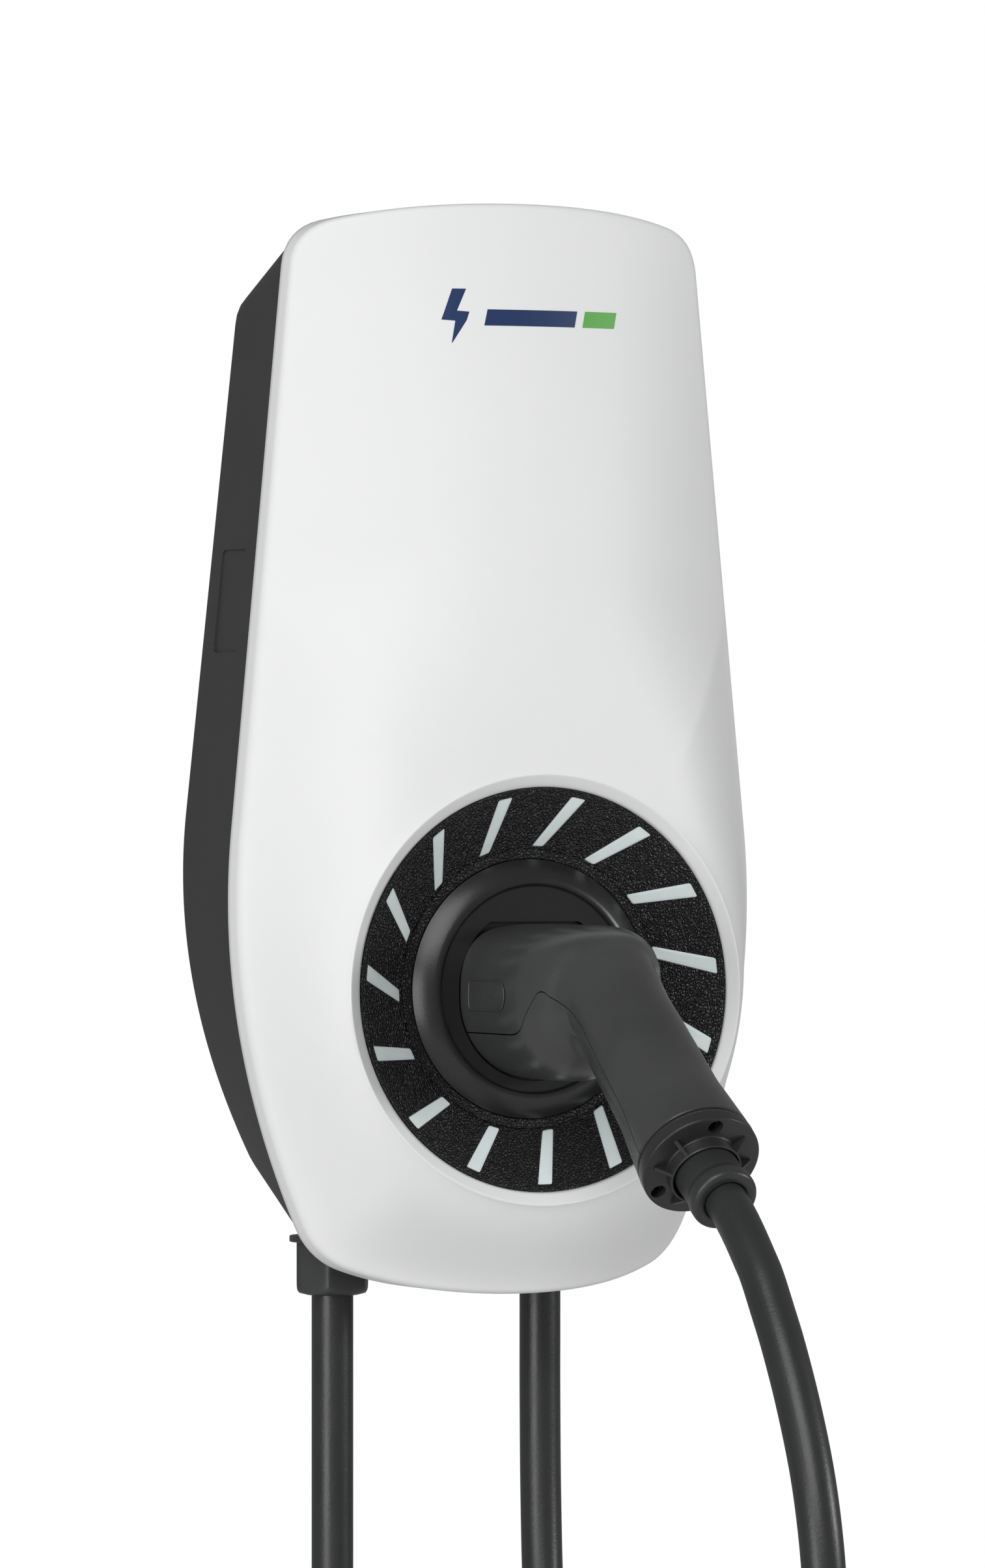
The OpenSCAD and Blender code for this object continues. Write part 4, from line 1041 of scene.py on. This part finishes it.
def steel_finish(name="screw_zinc", dark=(0.42, 0.42, 0.43), bright=(0.62, 0.62, 0.63)):
    """Zinc-plated steel: bright metal with fine turned rings and slight clouding."""
    return clouded(name, dark, bright, (0.0015, 3), (0.22, 0.2), (0.0004, 2, 0.00004, 0.5), Metallic=1.0)


screw_zinc = steel_finish()
# The cap screws get a near-black copy of the steel finish: painted shade standing for the shade deep in their
# counterbores.
cap_screw_shade = steel_finish("cap_screws_painted_shade", (0.05, 0.05, 0.05), (0.09, 0.09, 0.09))
heads = [screw_head(on_cap(angle, cap_screw_r, 2.9), handle_axis) for angle in cap_screw_angles]
cap_screws = join("plug_cap_screw_heads", heads)
coat(cap_screws, cap_screw_shade, "plug", ["plug_cap_screws"])

sleeve_dip = math.radians(32)
sleeve_axis = np.array([0, -math.cos(sleeve_dip), -math.sin(sleeve_dip)])
sleeve_origin = elbow3 + handle_axis * (handle_len + cap_t)
sleeve_r, sleeve_len, sleeve_bore = 11.6, 22.8, cable_d / 2 + 0.12
sleeve_profile = rounded([[sleeve_bore, -3], [sleeve_r, -3], [sleeve_r, sleeve_len - 7],
                          [sleeve_r + 0.7, sleeve_len - 5.6], [sleeve_r + 0.7, sleeve_len - 1.2],
                          [sleeve_r - 0.6, sleeve_len], [sleeve_bore, sleeve_len]], 1.0)
sleeve = turned_piece("plug_sleeve_ribbed", sleeve_profile, sleeve_origin, sleeve_axis, steps=96)
sleeve_plastic = shell_finish("sleeve_grey", (0.022, 0.0225, 0.023), (0.034, 0.035, 0.036), 0.32)
coat(sleeve, sleeve_plastic, "plug", ["plug_sleeve"])

# ---- Mark on the cover ----
# A small printed sign for electric charging: a dark-blue bolt, a long bar in the same blue and a short green
# bar. Each is a thin patch of ink that follows the cover's front.


def printed(name, left, right, low, high, rows, columns, finish):
    """Thin printed patch between a left and a right edge, each a function of the share of height: a grid on
    the cover's front, closed by the same grid just below the surface."""
    v = np.linspace(0, 1, rows)
    u = np.linspace(0, 1, columns)
    x = left(v)[:, None] + (right(v) - left(v))[:, None] * u[None]
    z = np.broadcast_to((low + (high - low) * v)[:, None], x.shape)
    flat = np.stack([x.ravel(), z.ravel()], 1)
    top, under = (lay(flat, crease_d + front_height(flat) + proud) for proud in (0.10, -0.35))
    faces = grid_faces(rows, columns, close_columns=False)
    n = rows * columns
    border = np.concatenate([np.arange(columns), np.arange(1, rows) * columns + columns - 1,
                             np.arange(columns - 2, -1, -1) + (rows - 1) * columns,
                             np.arange(rows - 2, 0, -1) * columns])
    following = np.roll(border, -1)
    walls = np.stack([border, following, following + n, border + n], 1)
    made = piece_from(name, np.vstack([top, under]),
                      faces.tolist() + (faces[:, ::-1] + n).tolist() + walls[:, ::-1].tolist(), sharp=60)
    coat(outward(made), finish, "charger")


def ink_finish(name, colour):
    """Printed ink, its colour and gloss slightly uneven."""
    return clouded(name, [c * 0.9 for c in colour], colour, (0.002, 3), (0.35, 0.1))


navy, leaf = ink_finish("ink_navy", (0.012, 0.035, 0.12)), ink_finish("ink_green", (0.10, 0.42, 0.06))
bolt_x, bolt_low, bolt_high = -27.0, 149, 169
bolt_v = [0, 0.42, 0.421, 0.58, 0.581, 1]
bolt_left, bolt_right = [-2.6, -0.8, -6.0, -4.7, -4.7, -1.4], [-2.4, 3.4, 3.4, 4.6, -0.2, 3.8]
printed("mark_bolt", lambda v: bolt_x + np.interp(v, bolt_v, bolt_left),
        lambda v: bolt_x + np.interp(v, bolt_v, bolt_right), bolt_low, bolt_high, 60, 8, navy)
bar_slant, bar_low, bar_high = 1.6, 155.5, 161.5
for name, start, end, ink in (("mark_bar_long", -17, 20, navy), ("mark_bar_short", 23.5, 38, leaf)):
    printed(name, lambda v, x=start: x + bar_slant * v, lambda v, x=end: x + bar_slant * v,
            bar_low, bar_high, 7, 24, ink)

# ---- Hidden parts ----
# What stays as the CAD made it: bracket, boards, terminals, seals, screws, nose and contacts. Each has its
# own finish, because the connector can be pulled out and the model is seen from behind as well.


def board_finish():
    """Green solder mask over copper tracks, with a slight gloss."""
    made = Finish("solder_mask")
    tracks = made.node("TexBrick", {}, {"Vector": made.place(), "Scale": 90, "Mortar Size": 0.03,
                                        "Color1": (0, 0, 0, 1), "Color2": (0.15, 0.15, 0.15, 1),
                                        "Mortar": (1, 1, 1, 1)})
    made.set(Base_Color=made.between(tracks, (0.012, 0.075, 0.030), (0.03, 0.16, 0.07)), Roughness=0.3,
             Normal=made.bump(tracks, 0.00004, 0.5))
    return made.material


def contact_finish():
    """Silver-plated brass with slight clouding."""
    return clouded("contact_metal", (0.55, 0.42, 0.20), (0.78, 0.68, 0.44), (0.002, 2), (0.2, 0.15),
                   Metallic=1.0)


def rubber_finish():
    """Matt black moulded rubber with a faint bloom."""
    return clouded("rubber", (0.010, 0.010, 0.010), (0.022, 0.022, 0.022), (0.006, 4), (0.75, 0.1),
                   (0.006, 4, 0.0001, 0.4))


cad_finishes = {
    rubber_finish(): ["housing_gasket", "supply_gland_seal", "charging_gland_seal", "plug_seal"],
    screw_zinc: ["cover_screws", "dial_screws", "holster_screws", "board_screws", "terminal_screws"],
    steel_finish("bracket_zinc"): ["wall_bracket", "control_shield"],
    housing_finish("socket_grey"): ["holster_socket"],
    board_finish(): ["led_board", "main_board", "control_board"],
    core_finish("chip_white", (0.7, 0.7, 0.65)): ["led_chips"],
    core_finish("relay_blue", (0.03, 0.09, 0.2)): ["relays"],
    core_finish("ring_core_yellow", (0.5, 0.33, 0.03)): ["current_sensor"],
    housing_finish("potted_module", (0.02, 0.02, 0.02), (0.03, 0.03, 0.03)): ["power_supply"],
    core_finish("capacitor_sleeve", (0.05, 0.06, 0.12)): ["capacitors"],
    housing_finish("terminal_grey", (0.38, 0.40, 0.38), (0.47, 0.49, 0.47)):
        ["terminal_block", "output_terminals"],
    gland_plastic: ["supply_gland_locknut", "charging_gland_locknut"],
    core_finish("inner_cores", (0.22, 0.09, 0.03)): ["supply_inner_cores", "charging_inner_cores"],
    shell_finish("nose_black", (0.012, 0.012, 0.012), (0.018, 0.018, 0.018), 0.4): ["plug_nose"],
    contact_finish(): ["plug_contacts"],
}
for finish, names in cad_finishes.items():
    for name in names:
        paint(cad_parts[name], finish)

# ---- Cords ----
# The charging cable ends in the connector, and the supply cable in its bare cores. Here the
# connector's visible pieces are gathered in a list.

plug_pieces = [o for o in bpy.data.objects
               if o.type == "MESH" and o.name.startswith("plug_") and not o.hide_render]
plug_pieces + ties

# ---- Stage and light ----
# Pale floor well below the charger, and a surround that is white to the camera but lights dimly. A large key
# stands at the upper left, a weaker light low on the left, and a narrow one on the right.

floor_r, floor_z, floor_sides = 1300, -640, 64
floor_turn = np.linspace(0, 2 * np.pi, floor_sides, endpoint=False)
floor_edge = about((0, 0, floor_z), upright, floor_r, 0, floor_turn)
floor = piece_from("floor", floor_edge, [list(range(floor_sides))])
paint(floor, clouded("floor", (0.82, 0.82, 0.82), (0.86, 0.86, 0.86), (0.4, 3), (0.9, 0)))

world = bpy.data.worlds.new("white_surround")
bpy.context.scene.world = world
world.use_nodes = True
tree = world.node_tree
tree.nodes.clear()
ray_kind = tree.nodes.new("ShaderNodeLightPath")
mixed = tree.nodes.new("ShaderNodeMixShader")
result = tree.nodes.new("ShaderNodeOutputWorld")
tree.links.new(ray_kind.outputs["Is Camera Ray"], mixed.inputs[0])
surround_light, surround_seen = 0.24, 1.0
for k, strength in ((1, surround_light), (2, surround_seen)):
    white = tree.nodes.new("ShaderNodeBackground")
    white.inputs["Color"].default_value = (1, 1, 1, 1)
    white.inputs["Strength"].default_value = strength
    tree.links.new(white.outputs[0], mixed.inputs[k])
tree.links.new(mixed.outputs[0], result.inputs[0])


def soft_light(name, place, target, size, power):
    """Square area light at a place, facing a target."""
    data = bpy.data.lights.new(name, "AREA")
    data.size, data.energy = size, power
    made = bpy.data.objects.new(name, data)
    bpy.context.scene.collection.objects.link(made)
    made.location = place
    aim = np.array(target) - np.array(place)
    made.rotation_mode = "QUATERNION"
    made.rotation_quaternion = Vector(aim.tolist()).to_track_quat("-Z", "Y")


soft_light("key", (-1.9, -2.6, 2.0), (0, 0, -0.05), 2.4, 72)
soft_light("low_left", (-2.1, -1.3, -0.3), (0, 0, -0.1), 1.2, 20)
soft_light("right_strip", (1.5, -1.1, 0.2), (0, -0.1, -0.1), 0.4, 9)
bpy.context.scene.view_settings.view_transform = "Standard"
